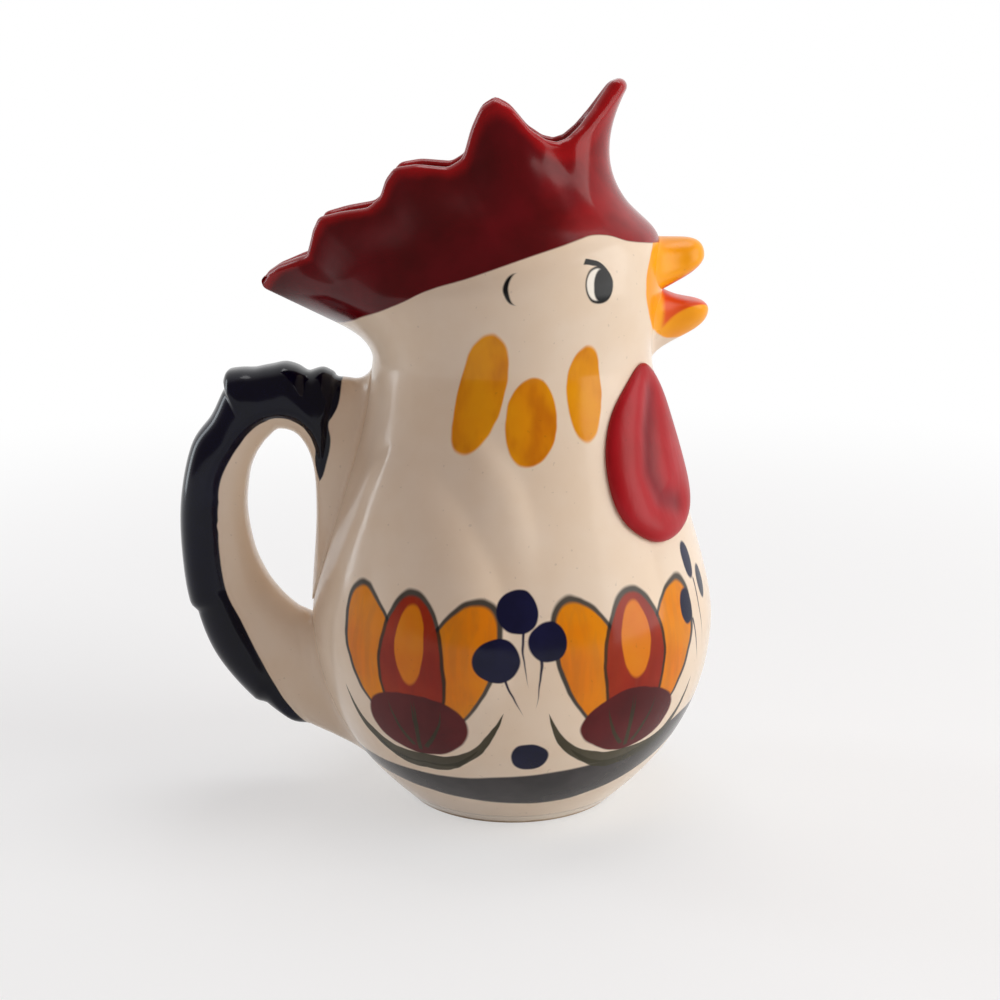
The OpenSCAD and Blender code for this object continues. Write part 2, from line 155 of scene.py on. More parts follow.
@dataclass(frozen=True)
class BodySkin:
    """Outer and inner skin of the thrown body, the head and the comb, in millimetres.

    Each pull says at which shares of the way from one end of a curve to the other its two control
    points stand.
    """

    belly_r: float = 58.0
    belly_z: float = 54.0
    neck_r: float = 39.4
    neck_z: float = 128.0
    head_r: float = 42.0
    cheek_z: float = 152.0
    nape_z: float = 137.0
    brow_rise: float = 27.0
    nape_flare: float = 7.0
    comb_top_z: float = 204.3
    comb_back_x: float = 69.6
    comb_back_z: float = 147.7
    comb_front_x: float = 31.4
    comb_half_w: float = 29.0
    brow_pinch: float = 12.0
    side_pinch: float = 3.0
    wall: float = 4.5
    foot_top_r: float = 34.0
    foot_h: float = 3.0
    floor_z: float = 8.0
    foot_pull: tuple[float, float, float] = (0.56, 0.25, 0.56)
    belly_pull: tuple[float, float, float] = (0.22, 0.14, 0.68)
    neck_pull: tuple[float, float, float] = (-0.2, 0.25, 0.5)
    brow_pull: float = 0.35
    curve_steps: int = 80
    crest_taper: float = 0.35
    crest_rise: Pair = (1.1, 0.6)
    pinch_drop: float = 0.3
    normal_step: float = 0.02
    rim_reach: Pair = (0.2, 1.3)
    halvings: int = 24
    rim_line: Line = (
        (0, 0), (0.02, 0.058), (0.047, 0.099), (0.102, 0.148), (0.13, 0.17), (0.146, 0.297),
        (0.166, 0.362), (0.23, 0.392), (0.304, 0.415), (0.335, 0.468), (0.35, 0.553),
        (0.376, 0.606), (0.437, 0.622), (0.521, 0.61), (0.56, 0.655), (0.582, 0.784),
        (0.608, 0.878), (0.647, 0.917), (0.689, 0.88), (0.739, 0.78), (0.783, 0.735),
        (0.821, 0.722), (0.85, 0.737), (0.888, 0.79), (0.93, 0.868), (0.966, 0.944),
        (0.985, 0.988), (1, 1))

    @cached_property
    def table(self) -> tuple[np.ndarray, np.ndarray]:
        """Steps down the turned skin from the foot to the brow.

        Returns:
            Its heights and its radii.
        """
        foot, belly = (self.foot_top_r, self.foot_h), (self.belly_r, self.belly_z)
        neck, head = (self.neck_r, self.neck_z), (self.head_r, self.cheek_z)
        out, low, high = self.foot_pull
        curves = [(foot, (mix(foot[0], belly[0], out), mix(foot[1], belly[1], low)),
                   (belly[0], mix(foot[1], belly[1], high)), belly)]
        low, out, high = self.belly_pull
        curves.append((belly, (belly[0], mix(belly[1], neck[1], low)),
                       (mix(neck[0], belly[0], out), mix(belly[1], neck[1], high)), neck))
        out, low, high = self.neck_pull
        curves.append((neck, (mix(neck[0], head[0], out), mix(neck[1], head[1], low)),
                       (head[0], mix(neck[1], head[1], high)), head))
        t = np.linspace(0, 1, self.curve_steps)[:, None]
        rows = [bezier([np.array(p) for p in curve], t) for curve in curves]
        rows.append(np.array([[mix(head[0], neck[0], self.brow_pull), self.nape_z + self.brow_rise]]))
        line = np.concatenate(rows)
        return line[:, 1], line[:, 0]

    def radius(self, z: Share) -> np.ndarray:
        """Radius of the turned skin at a height."""
        return np.interp(z, *self.table)

    def head(self, a: np.ndarray, v: np.ndarray) -> np.ndarray:
        """Finds the skin of the head.

        Args:
            a: Angles round the head.
            v: Shares of the way from the neck to the comb's seam.

        Returns:
            Points of the skin.
        """
        z = mix(self.neck_z, self.nape_z + self.brow_rise * np.abs(np.cos(a / 2)), v)
        r = self.radius(z) + self.nape_flare * v * v * np.maximum(0, -np.cos(a)) ** 3
        return np.stack([r * np.cos(a), r * np.sin(a), z], -1)

    @property
    def comb_h(self) -> float:
        """Height of the comb from its rear point to its lip, less the rounded edge."""
        return self.comb_top_z - self.wall / 3 - self.comb_back_z

    def crest(self, a: np.ndarray) -> np.ndarray:
        """Finds the line above every lobe that the comb's skin rises to.

        Args:
            a: Angles round the comb.

        Returns:
            Points of that line.
        """
        u = (1 + np.cos(a)) / 2
        rise, power = self.crest_rise
        return np.stack([mix(-self.comb_back_x, self.comb_front_x, u),
                         self.comb_half_w * np.sin(a) * (1 - self.crest_taper * (1 - u)),
                         self.comb_back_z + self.comb_h * np.minimum(1, rise * u**power)], -1)

    def comb(self, a: np.ndarray, w: np.ndarray) -> np.ndarray:
        """Finds the skin of the comb.

        Args:
            a: Angles round the comb.
            w: Shares of the way from the seam to the crest.

        Returns:
            Points of the skin.
        """
        s, c = self.head(a, np.ones_like(a)), self.crest(a)
        cos = np.cos(a)
        pinch = np.where(cos > 0, mix(self.side_pinch, self.brow_pinch, cos),
                         self.side_pinch * (1 + cos))
        inward = -pinch[..., None] * np.stack([cos, np.sin(a), np.full_like(a, self.pinch_drop)], -1)
        return bezier([s, mix(s, c, 1 / 3) + inward, mix(s, c, 2 / 3) + inward, c], w[..., None])

    def rim(self, a: np.ndarray) -> np.ndarray:
        """Finds by halving where the wavy rim cuts the comb's skin.

        Args:
            a: Angles round the comb.

        Returns:
            Shares of the way from the seam to the crest.
        """
        xs, rises = np.array(self.rim_line).T
        low, high = (np.full_like(a, share) for share in self.rim_reach)
        for _ in range(self.halvings):
            m = (low + high) / 2
            p = self.comb(a, m)
            x = (p[..., 0] + self.comb_back_x) / (self.comb_back_x + self.comb_front_x)
            below = p[..., 2] < self.comb_back_z + self.comb_h * np.interp(x, xs, rises)
            low, high = np.where(below, m, low), np.where(below, high, m)
        return low

    def full(self, a: np.ndarray, v: np.ndarray) -> np.ndarray:
        """Skin of head and comb as one surface: v is 0 to 1 on the head and 1 to 2 on the comb."""
        head, comb = self.head(a, np.minimum(v, 1)), self.comb(a, np.maximum(v - 1, 0))
        return np.where((v <= 1)[..., None], head, comb)

    def inside(self, a: np.ndarray, v: np.ndarray) -> np.ndarray:
        """Finds the same surface moved in by the wall, square to the skin.

        Args:
            a: Angles round the head and comb.
            v: Shares of the way up, as in full.

        Returns:
            Points of the inner skin.
        """
        step = self.normal_step
        round_way = self.full(a + step, v) - self.full(a - step, v)
        up = self.full(a, v + step) - self.full(a, np.maximum(0, v - step))
        n = np.cross(round_way, up)
        return self.full(a, v) - self.wall * n / np.linalg.norm(n, axis=-1, keepdims=True)


SKIN = BodySkin()


def buried(ring: np.ndarray, depth: float, shares: Sequence[float], side: int) -> list[np.ndarray]:
    """Closes the root of a piece inside the body's wall.

    Args:
        ring: The root's ring on the skin.
        depth: How deep under the skin it closes.
        shares: Size of each closing ring, from its middle out.
        side: 1 at the front of the body and -1 at its back.

    Returns:
        The closing rings.
    """
    rings = []
    for share in shares:
        p = ring.mean(0) + (ring - ring.mean(0)) * share
        p[:, 0] = side * along(SKIN.radius(p[:, 2]) - depth, p[:, 1])
        rings.append(p)
    return rings


def lattice(name: str, rings: np.ndarray, marks: dict[str, np.ndarray] | None = None) -> bpy.types.Object:
    """Spins a stepped line into a closed tube and lays its rings along the piece's rows.

    Args:
        name: Name of the new piece.
        rings: Rows by points by 3, in millimetres.
        marks: Values for each ring point, stored on the mesh under their names.

    Returns:
        The piece, with its first and last ring drawn to a point.
    """
    rows, steps, _ = rings.shape
    bm = bmesh.new()
    line = [bm.verts.new((1, 0, k)) for k in range(rows)]
    edges = [bm.edges.new(pair) for pair in zip(line, line[1:])]
    bmesh.ops.spin(bm, geom=line + edges, axis=(0, 0, 1), cent=(0, 0, 0), angle=FULL_TURN,
                   steps=steps, use_merge=True)
    spots = (rings * MM).tolist()
    values = {key: mark.tolist() for key, mark in (marks or {}).items()}
    layers = {key: bm.verts.layers.float.new(key) for key in values}
    for v in bm.verts:
        k = int(round(v.co.z))
        i = int(round(math.atan2(v.co.y, v.co.x) % FULL_TURN / FULL_TURN * steps)) % steps
        v.co = spots[k][i]
        for key, layer in layers.items():
            v[layer] = values[key][k][i]
    bmesh.ops.remove_doubles(bm, verts=bm.verts, dist=POLE_GAP)
    bmesh.ops.recalc_face_normals(bm, faces=bm.faces)
    for f in bm.faces:
        f.smooth = True
    mesh = bpy.data.meshes.new(name)
    bm.to_mesh(mesh)
    bm.free()
    piece = bpy.data.objects.new(name, mesh)
    bpy.context.scene.collection.objects.link(piece)
    return piece


def report(piece: bpy.types.Object) -> None:
    """Logs a finished piece and its face count."""
    LOG.info("%s: %d faces", piece.name, len(piece.data.polygons))


@dataclass
class GlazedBody:
    """Belly, neck, head and comb as one shell, with the wings' edges raised on the belly.

    Edges are given as angles in degrees and heights, and lengths in millimetres.
    """

    steps: int = 360
    wing_edge: Line = (
        (168, 92), (152, 103.5), (139, 108.5), (128, 107.8), (117.5, 104), (111, 100), (105.4, 95),
        (100.9, 89.4), (97.4, 84), (94.6, 78.5), (92.2, 71), (90.8, 62), (91, 50), (94, 36))
    wing_raise: float = 2.4
    wing_swell: float = 12.0
    covert_edge: Line = (
        (128, 114), (114, 117), (102, 116), (94.6, 110.6), (90.2, 106.6), (86.6, 101.5), (83.8, 94),
        (82.3, 84), (82.5, 70))
    covert_raise: float = 1.3
    covert_swell: float = 8.0
    degree: float = 0.94
    feather_reach: float = 42.0
    edge_round: float = 1.4
    edge_sink: float = 0.03
    back_fade: Pair = (30.0, 6.0)
    low_fade: float = 26.0
    notches: tuple[float, ...] = (0.125, 0.335, 0.555, 0.8)
    notch_w: float = 0.05
    notch_depth: float = 0.9
    rim_round: float = 2.3
    lean: float = 0.26
    lean_front: Pair = (0.45, 0.95)
    lean_height: Pair = (0.45, 1.1)
    lip_z: float = 201.0
    lip_press: float = 0.07
    inner_low: float = 0.08
    corner: Line = ((4.5, 2.2), (9.0, 0.0), (15.0, 0.0))
    corner_h: float = 7.0
    base_radii: tuple[float, ...] = (0, 9, 18, 25, 30, 33.2)
    turned_rows: int = 110
    head_rows: int = 25
    comb_rows: int = 38
    rim_rows: int = 9
    inner_rows: int = 12
    corner_rows: int = 8
    thinned: int = 3
    melted_rows: int = 9
    melts: int = 14
    rim_fade: Pair = (5.0, 6.0)

    def relief(self, edge: Line, swell: float, a: np.ndarray, z: np.ndarray) -> np.ndarray:
        """How far the feathers' layer stands up at each point, as a share.

        Args:
            edge: The layer's front edge, as angles in degrees and heights.
            swell: How far behind the edge the layer is at its thickest.
            a: Angles round the belly, in radians.
            z: Heights.

        Returns:
            Shares that rise sharply at the edge and fade behind it.
        """
        turn = np.abs((a + math.pi) % FULL_TURN - math.pi)
        flat = np.stack([np.degrees(turn) * self.degree, z], -1)
        line = np.array([(angle * self.degree, high) for angle, high in edge])
        best, side = np.full(z.shape, FAR), np.zeros(z.shape)
        for p, q in zip(line, line[1:]):
            off, (dx, dz) = off_line(flat, p, q), q - p
            gap = np.linalg.norm(off, axis=-1)
            near = gap < best - 1 / FAR
            best = np.where(near, gap, best)
            side = np.where(near, np.sign(off[..., 0] * dz - off[..., 1] * dx), side)
        signed = -best * side
        (back, _), (_, low) = line[0], line[-1]
        start, end = self.back_fade
        ends = (1 - smooth(back - start, back - end, flat[..., 0])) * smooth(low, low + self.low_fade, z)
        behind = np.maximum(0, (signed + np.hypot(signed, self.edge_round)) / 2 - self.edge_sink)
        rise = 1 - (1 - np.clip(behind / swell, 0, 1)) ** 2
        return rise * (1 - smooth(swell, self.feather_reach, signed)) * ends

    @cached_property
    def turned(self) -> tuple[np.ndarray, np.ndarray, np.ndarray]:
        """Even steps up the turned skin from the foot to the neck.

        Returns:
            Heights, radii, and how fast the radius changes with height.
        """
        z, r = (values[SKIN.table[0] <= SKIN.neck_z + 1 / FAR] for values in SKIN.table)
        run = np.concatenate([[0], np.cumsum(np.hypot(np.diff(z), np.diff(r)))])
        spots = np.linspace(0, run[-1], self.turned_rows)
        zs, rs = np.interp(spots, run, z), np.interp(spots, run, r)
        return zs, rs, np.gradient(rs, zs)

    def feathered(self, a: np.ndarray) -> list[np.ndarray]:
        """Raises the wings and their coverts on the turned skin.

        Args:
            a: Angles of the points in a ring.

        Returns:
            Rings from the foot to the neck.
        """
        rings = []
        for z, r, slope in zip(*self.turned):
            level = np.full_like(a, z)
            h = (self.wing_raise * self.relief(self.wing_edge, self.wing_swell, a, level)
                 + self.covert_raise * self.relief(self.covert_edge, self.covert_swell, a, level))
            out = h / math.hypot(1, slope)
            rings.append(np.stack([(r + out) * np.cos(a), (r + out) * np.sin(a), level - out * slope], -1))
        return rings

    def groove(self, a: np.ndarray) -> np.ndarray:
        """Depth of the flutes that run down the comb from the notches in its rim."""
        u = (1 + np.cos(a)) / 2
        return self.notch_depth * sum(np.exp(-((u - n) / self.notch_w) ** 2) for n in self.notches)

    def comb_walls(self, a: np.ndarray) -> tuple[list[np.ndarray], list[np.ndarray]]:
        """Draws the comb's walls up to its rim, fluted and leaning in.

        Args:
            a: Angles of the points in a ring.

        Returns:
            Rings of the outer wall and of the inner wall, from the seam up.
        """
        share = SKIN.rim(a)
        share = (np.roll(share, 1) + 2 * share + np.roll(share, -1)) / 4
        tall = np.linalg.norm(SKIN.full(a, 1 + share) - SKIN.full(a, np.ones_like(a)), axis=-1)
        reach = share * (1 - (self.rim_round - SKIN.wall / 3) / tall)
        groove = self.groove(a)
        drawn_in = self.lean * (1 - smooth(*self.lean_front, (1 + np.cos(a)) / 2))
        outer, inner = [], []
        for w in np.linspace(0, 1, self.comb_rows + 1)[1:]:
            v = 1 + reach * w
            skin = SKIN.full(a, v)
            wall = skin - SKIN.inside(a, v)
            push = -wall / SKIN.wall * (groove * w**1.5)[:, None]
            push[:, 1] -= skin[:, 1] * drawn_in * smooth(*self.lean_height, w)
            outer.append(skin + push)
            inner.append(skin - wall + push)
        return outer, inner

    def rolled(self, outer: list[np.ndarray], inner: list[np.ndarray]) -> list[np.ndarray]:
        """Rounds the rim over from one wall to the other.

        Args:
            outer: Rings of the comb's outer wall.
            inner: Rings of its inner wall.

        Returns:
            Rings over the rim.
        """
        top = outer[-1] - outer[-3]
        top /= np.linalg.norm(top, axis=-1, keepdims=True)
        middle, half = (outer[-1] + inner[-1]) / 2, (outer[-1] - inner[-1]) / 2
        return [middle + half * math.cos(f) + top * self.rim_round * math.sin(f)
                for f in np.linspace(0, math.pi, self.rim_rows + 2)[1:-1]]

    def cave(self) -> list[Pair]:
        """Runs the inner skin down from the neck and round the corner to the middle of the floor.

        Returns:
            Its radii and heights.
        """
        floor_z = SKIN.floor_z
        line = []
        for z, r, slope in zip(*self.turned):
            off = SKIN.wall / math.hypot(1, slope)
            if z + off * slope > floor_z + self.corner_h:
                line.append((r - off, z + off * slope))
        line = line[::-self.thinned]
        r, _ = line[-1]
        corner = [np.array(line[-1])]
        corner += [np.array((r - inward, floor_z + up)) for inward, up in self.corner]
        bend = [tuple(bezier(corner, t)) for t in np.linspace(0, 1, self.corner_rows + 1)[1:]]
        return line[1:] + bend + [(bend[-1][0] * share, floor_z) for share in (0.75, 0.5, 0.25, 0)]

    @property
    def seam_row(self) -> int:
        """Row in which the comb meets the head."""
        return len(self.base_radii) + self.turned_rows + self.head_rows - 1

    @property
    def rim_row(self) -> int:
        """Row along the top of the rim."""
        return self.seam_row + 1 + self.comb_rows + self.rim_rows // 2

    def place(self, a: np.ndarray) -> np.ndarray:
        """Lays out the whole shell: base, outer skin, rim, inner skin and floor.

        Args:
            a: Angles of the points in a ring.

        Returns:
            Rows by points by 3, in millimetres.
        """
        base = [level_ring(a, r, SKIN.foot_h) for r in self.base_radii]
        head = [SKIN.head(a, np.full_like(a, v)) for v in np.linspace(0, 1, self.head_rows + 1)[1:]]
        outer, inner = self.comb_walls(a)
        rim = self.rolled(outer, inner)
        throat = [SKIN.inside(a, np.full_like(a, v)) for v in np.linspace(1, self.inner_low, self.inner_rows)]
        cave = [level_ring(a, r, z) for r, z in self.cave()]
        shell = np.array(base + self.feathered(a) + head + outer + rim + inner[::-self.thinned]
                         + throat + cave)
        for _ in range(self.melts):
            part = shell[self.seam_row - self.melted_rows:self.seam_row + self.melted_rows + 1]
            part[1:-1] = (part[:-2] + 2 * part[1:-1] + part[2:]) / 4
        shell[..., 2] -= self.lip_press * np.maximum(0, shell[..., 2] - self.lip_z)
        return shell

    def build(self) -> bpy.types.Object:
        """Models the shell and stores which points are inside it and which are near its rim.

        Returns:
            The piece.
        """
        shell = self.place(ring_angles(self.steps))
        past = np.arange(len(shell)) - self.rim_row
        flat, fade = self.rim_fade
        near = np.clip(1 - np.maximum(0, np.abs(past) - flat) / fade, 0, 1) ** 1.5
        shares = {"inside": (past > self.rim_rows).astype(float), "rim": near}
        marks = {key: np.repeat(share[:, None], self.steps, 1) for key, share in shares.items()}
        piece = lattice("glazed_body", shell, marks)
        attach(piece, "root")
        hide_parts("belly", "head", "comb", "wing_left", "wing_right", "covert_left", "covert_right")
        report(piece)
        return piece


@dataclass(frozen=True)
class Oval:
    """Section of the strap, square to its run and fuller than an ellipse."""

    middle: np.ndarray
    way: np.ndarray
    half_long: float
    half_wide: float

    def skin(self, c: np.ndarray, s: np.ndarray, off: Share) -> np.ndarray:
        """Finds points round the section.

        Args:
            c: Cosine of each point's angle, made fuller.
            s: Sine of it, made fuller.
            off: How far outside the section each point is.

        Returns:
            The points.
        """
        p = self.middle + self.way * ((self.half_long + off) * c)[:, None]
        p[:, 1] = (self.half_wide + off) * s
        return p


@dataclass
class HandleLoop:
    """The strap handle, with the tail feathers laid along its outer side and glazed over."""

    outer: Line = (
        (-0.47, 0.95), (-0.24, 0.981), (-0.05, 0.993), (0.13, 1.0), (0.37, 0.993), (0.57, 0.98),
        (0.65, 0.943), (0.748, 0.880), (0.905, 0.805), (0.998, 0.67), (1.0, 0.527), (0.937, 0.394),
        (0.765, 0.264), (0.426, 0.144), (0.026, 0.065), (-0.5, 0.0))
    hole: Line = (
        (-0.005, 0.436), (-0.047, 0.637), (-0.032, 0.754), (0.066, 0.821), (0.21, 0.838),
        (0.305, 0.816), (0.36, 0.795), (0.413, 0.767), (0.46, 0.723), (0.487, 0.637), (0.442, 0.541),
        (0.355, 0.474), (0.25, 0.427), (0.145, 0.394), (0.074, 0.377), (0.013, 0.352))
    reach: float = 38.0
    top_z: float = 127.3
    low_z: float = 8.0
    half_w: float = 9.0
    root_swell: float = 0.18
    fullness: float = 0.78
    feather_t: float = 2.6
    feather_bed: float = 0.3
    thin_share: float = 0.45
    side_share: float = 0.72
    crown: Pair = (0.1, 0.8)
    scallops: Line = ((1.6, 0.7), (2.3, -1.1), (3.2, 0.6), (4.2, -0.4), (5.2, 0.6))
    scallop_w: float = 0.32
    ends: tuple[float, ...] = (1.1, 5.7, 11.0, 13.0, 14.3)
    end_soft: float = 0.09
    paint_centre: Pair = (-66.0, 88.0)
    paint_edge: Line = (
        (-180, 17.3), (-164, 18.4), (-150, 20.0), (0, 13), (28.3, 13.3), (56.9, 19.2), (66.2, 21.8),
        (77.6, 23.8), (87.8, 24.3), (98.8, 23.5), (112.4, 21.5), (130, 19.1), (146.2, 18.1),
        (173.7, 17.4), (180, 17.3))
    low_edge: Line = (
        (8, -50), (14, -55.5), (20.2, -60.6), (25.8, -64.8), (33.2, -69), (41.5, -73), (52.5, -77.9),
        (62.4, -82.1), (72.3, -83.4), (80, -83.7), (90, -83.5))
    neck_edge: Line = (
        (8, 0), (58, 0), (62, -66), (86, -62), (92, -57.5), (95, -54), (100, -52.2), (106, -51),
        (111, -51.4), (113, -50.2), (116, -48.8), (122, -48.0), (130, -47.6))
    edges_meet: Pair = (78.0, 83.0)
    cover_fade: Pair = (-0.6, 3.0)
    steps: int = 160
    fillet: float = 5.0
    fillet_gap: float = 0.1
    root_depth: float = 0.7
    root_sunk: float = 1.2
    root_shares: tuple[float, ...] = (0.0, 0.5, 0.97)
    stations: tuple[float, ...] = (0, 2.4, 12.6, 15)
    station_rows: tuple[int, ...] = (34, 130, 34)

    def at(self, line: Line, t: float) -> np.ndarray:
        """Point of one of the handle's side lines at station t."""
        x, z = spline(line, t)
        return np.array([-SKIN.belly_r - self.reach * x, 0, self.low_z + (self.top_z - self.low_z) * z])

    def feather(self, t: float) -> float:
        """Finds how thick the feathers lie over the handle, each thicker towards its tip.

        Args:
            t: Station along the handle.

        Returns:
            The thickness, with a step where one feather ends on the next.
        """
        bed = 0.0
        for start, end in zip(self.ends, self.ends[1:]):
            if start <= t <= end:
                bed = mix(self.thin_share, 1, (t - start) / (end - start))
        return self.feather_t * bed

    def layer(self, t: float) -> float:
        """Feather thickness with its steps softened over a short run."""
        return float(np.mean([self.feather(t + d) for d in np.linspace(-self.end_soft, self.end_soft, 7)]))

    def lobe(self, t: float) -> float:
        """Rise of the uppermost feather's scalloped edge at station t."""
        return sum(high * math.exp(-(((t - at) / self.scallop_w) ** 2)) for at, high in self.scallops)

    def painted(self, x: np.ndarray, z: np.ndarray) -> np.ndarray:
        """Measures how far inside the feathers' painted area a place is.

        Args:
            x: Places along the pitcher.
            z: Their heights.

        Returns:
            Distances, positive inside the area.
        """
        dx, dz = x - self.paint_centre[0], z - self.paint_centre[1]
        edge, neck, low = (np.array(line).T for line in (self.paint_edge, self.neck_edge, self.low_edge))
        upper = np.hypot(dx, dz) - np.interp(np.degrees(np.arctan2(dz, dx)), *edge)
        lower = np.interp(z, *low) - x
        return np.minimum(mix(lower, upper, smooth(*self.edges_meet, z)), np.interp(z, *neck) - x)

    def oval(self, t: float) -> Oval:
        """Finds the section of the bare strap, which leaves room for the feathers.

        Args:
            t: Station along the handle.

        Returns:
            The section.
        """
        o, i = self.at(self.outer, t), self.at(self.hole, t)
        covered = max(0.0, min(1.0, t - self.ends[0] + 1, self.ends[-1] + 1 - t))
        tall = np.linalg.norm(o - i)
        long = tall - (self.feather_t + self.feather_bed) * covered
        way = (o - i) / tall
        end = abs(2 * t / self.stations[-1] - 1)
        return Oval(i + way * long / 2, way, long / 2, self.half_w * (1 + self.root_swell * end**4))

    def section(self, t: float, f: np.ndarray) -> np.ndarray:
        """Draws a ring of the handle, with the feathers' layer and the cove at its roots.

        Args:
            t: Station along the handle.
            f: Angles round the section.

        Returns:
            Points of the ring.
        """
        oval = self.oval(t)
        c, s = full(np.cos(f), self.fullness), full(np.sin(f), self.fullness)
        p = oval.skin(c, s, 0.0)
        bed = self.layer(t)
        side = self.side_share * min(self.feather_t, bed / self.thin_share)
        cover = mix(side, bed + self.lobe(t), smooth(*self.crown, c))
        cover = cover * smooth(*self.cover_fade, self.painted(p[:, 0], p[:, 2]))
        p = oval.skin(c, s, cover)
        gap = np.hypot(p[:, 0], p[:, 1]) - SKIN.radius(p[:, 2])
        near = np.clip(1 - (gap + self.fillet_gap) / self.fillet, 0, 1)
        p = oval.skin(c, s, cover + cove(near, self.fillet))
        r = SKIN.radius(p[:, 2]) + np.maximum(gap, -self.root_depth)
        p[:, 0] = np.where(gap < self.fillet, -along(r, p[:, 1]), p[:, 0])
        return p

    def place(self, f: np.ndarray) -> np.ndarray:
        """Lays out rings from one root, round the loop, to the other root.

        Args:
            f: Angles of the points in a ring.

        Returns:
            Rows by points by 3, in millimetres.
        """
        runs = zip(self.stations, self.stations[1:], self.station_rows)
        stations = np.concatenate([[0]] + [np.linspace(start, end, rows)[1:] for start, end, rows in runs])
        rings = [self.section(t, f) for t in stations]
        first, last = (buried(ring, self.root_sunk, self.root_shares, -1) for ring in (rings[0], rings[-1]))
        return np.array(first + rings + last[::-1])

    def build(self) -> bpy.types.Object:
        """Models the loop and hands it to the frame.

        Returns:
            The piece.
        """
        piece = lattice("handle_loop", self.place(ring_angles(self.steps)))
        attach(piece, "root")
        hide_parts("handle", "tail_curl", "tail_feather_upper", "tail_feather_middle",
                    "tail_feather_lower")
        report(piece)
        return piece


class Half(Enum):
    """The two halves of the open beak."""

    UPPER = "upper_beak"
    LOWER = "lower_beak"


@dataclass
class BeakHalf:
    """One half of the beak, from its seat on the face to its blunt tip."""

    half: Half
    tip: Pair
    low: float
    high: float
    low_rise: float
    low_bow: float
    high_drop: float
    half_w: float
    scoop: float
    taper: float
    tip_narrow: float = 0.28
    blunt: float = 6.0
    fullness: float = 0.8
    steps: int = 72
    rows: int = 64
    fillet: float = 7.0
    seat_sink: float = 0.1
    seat_sunk: float = 1.0
    seat_shares: tuple[float, ...] = (0.0, 0.5, 1.0)

    def ring(self, s: float, f: np.ndarray) -> np.ndarray:
        """Draws a section of the beak, flared onto the face near its seat.

        Args:
            s: Share of the way from the seat to the tip.
            f: Angles round the section.

        Returns:
            Points of the ring.
        """
        end = math.sqrt(max(0.0, 1 - s**self.blunt))
        zl = mix(self.tip[1], self.low + self.low_rise * s**self.low_bow, end)
        zh = mix(self.tip[1], self.high - self.high_drop * s, end)
        across, up = full(np.cos(f), self.fullness), full(np.sin(f), self.fullness)
        spare = (1 - up) / 2 if self.half is Half.LOWER else (1 + up) / 2
        narrow = 1 - self.taper * spare**1.5
        y = self.half_w * (1 - self.tip_narrow * s) * end * across * narrow
        dip = self.scoop * np.maximum(0, np.sin(f)) ** 3 * 4 * s * (1 - s)
        z = mix(zl, zh, (1 + up) / 2) - dip
        seat = along(SKIN.radius(z), y)
        x = mix(seat, self.tip[0], s)
        near = np.clip(1 - (x - seat) / self.fillet, 0, 1)
        y = y + cove(near, self.fillet) * np.cos(f) * narrow**2
        foot = along(SKIN.radius(z) - self.seat_sink * near**6, y)
        return np.stack([np.where(near > 0, foot + np.maximum(x - seat, 0), x), y, z], -1)

    def place(self, f: np.ndarray) -> np.ndarray:
        """Rings from inside the face to the tip, closer together at both ends."""
        seat = buried(self.ring(0.0, f), self.seat_sunk, self.seat_shares, 1)
        return np.array(seat + [self.ring(1 - (1 - k * k) ** 1.7, f) for k in np.linspace(0, 1, self.rows)])

    def build(self) -> bpy.types.Object:
        """Models the half and marks its mouth side.

        Returns:
            The piece.
        """
        f = ring_angles(self.steps)
        rings = self.place(f)
        side = np.sin(f) if self.half is Half.LOWER else -np.sin(f)
        mouth = np.repeat(side[None, :], len(rings), 0)
        piece = lattice(f"glazed_{self.half.value}", rings, {"mouth": mouth})
        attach(piece, "root")
        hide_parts(self.half.value)
        report(piece)
        return piece


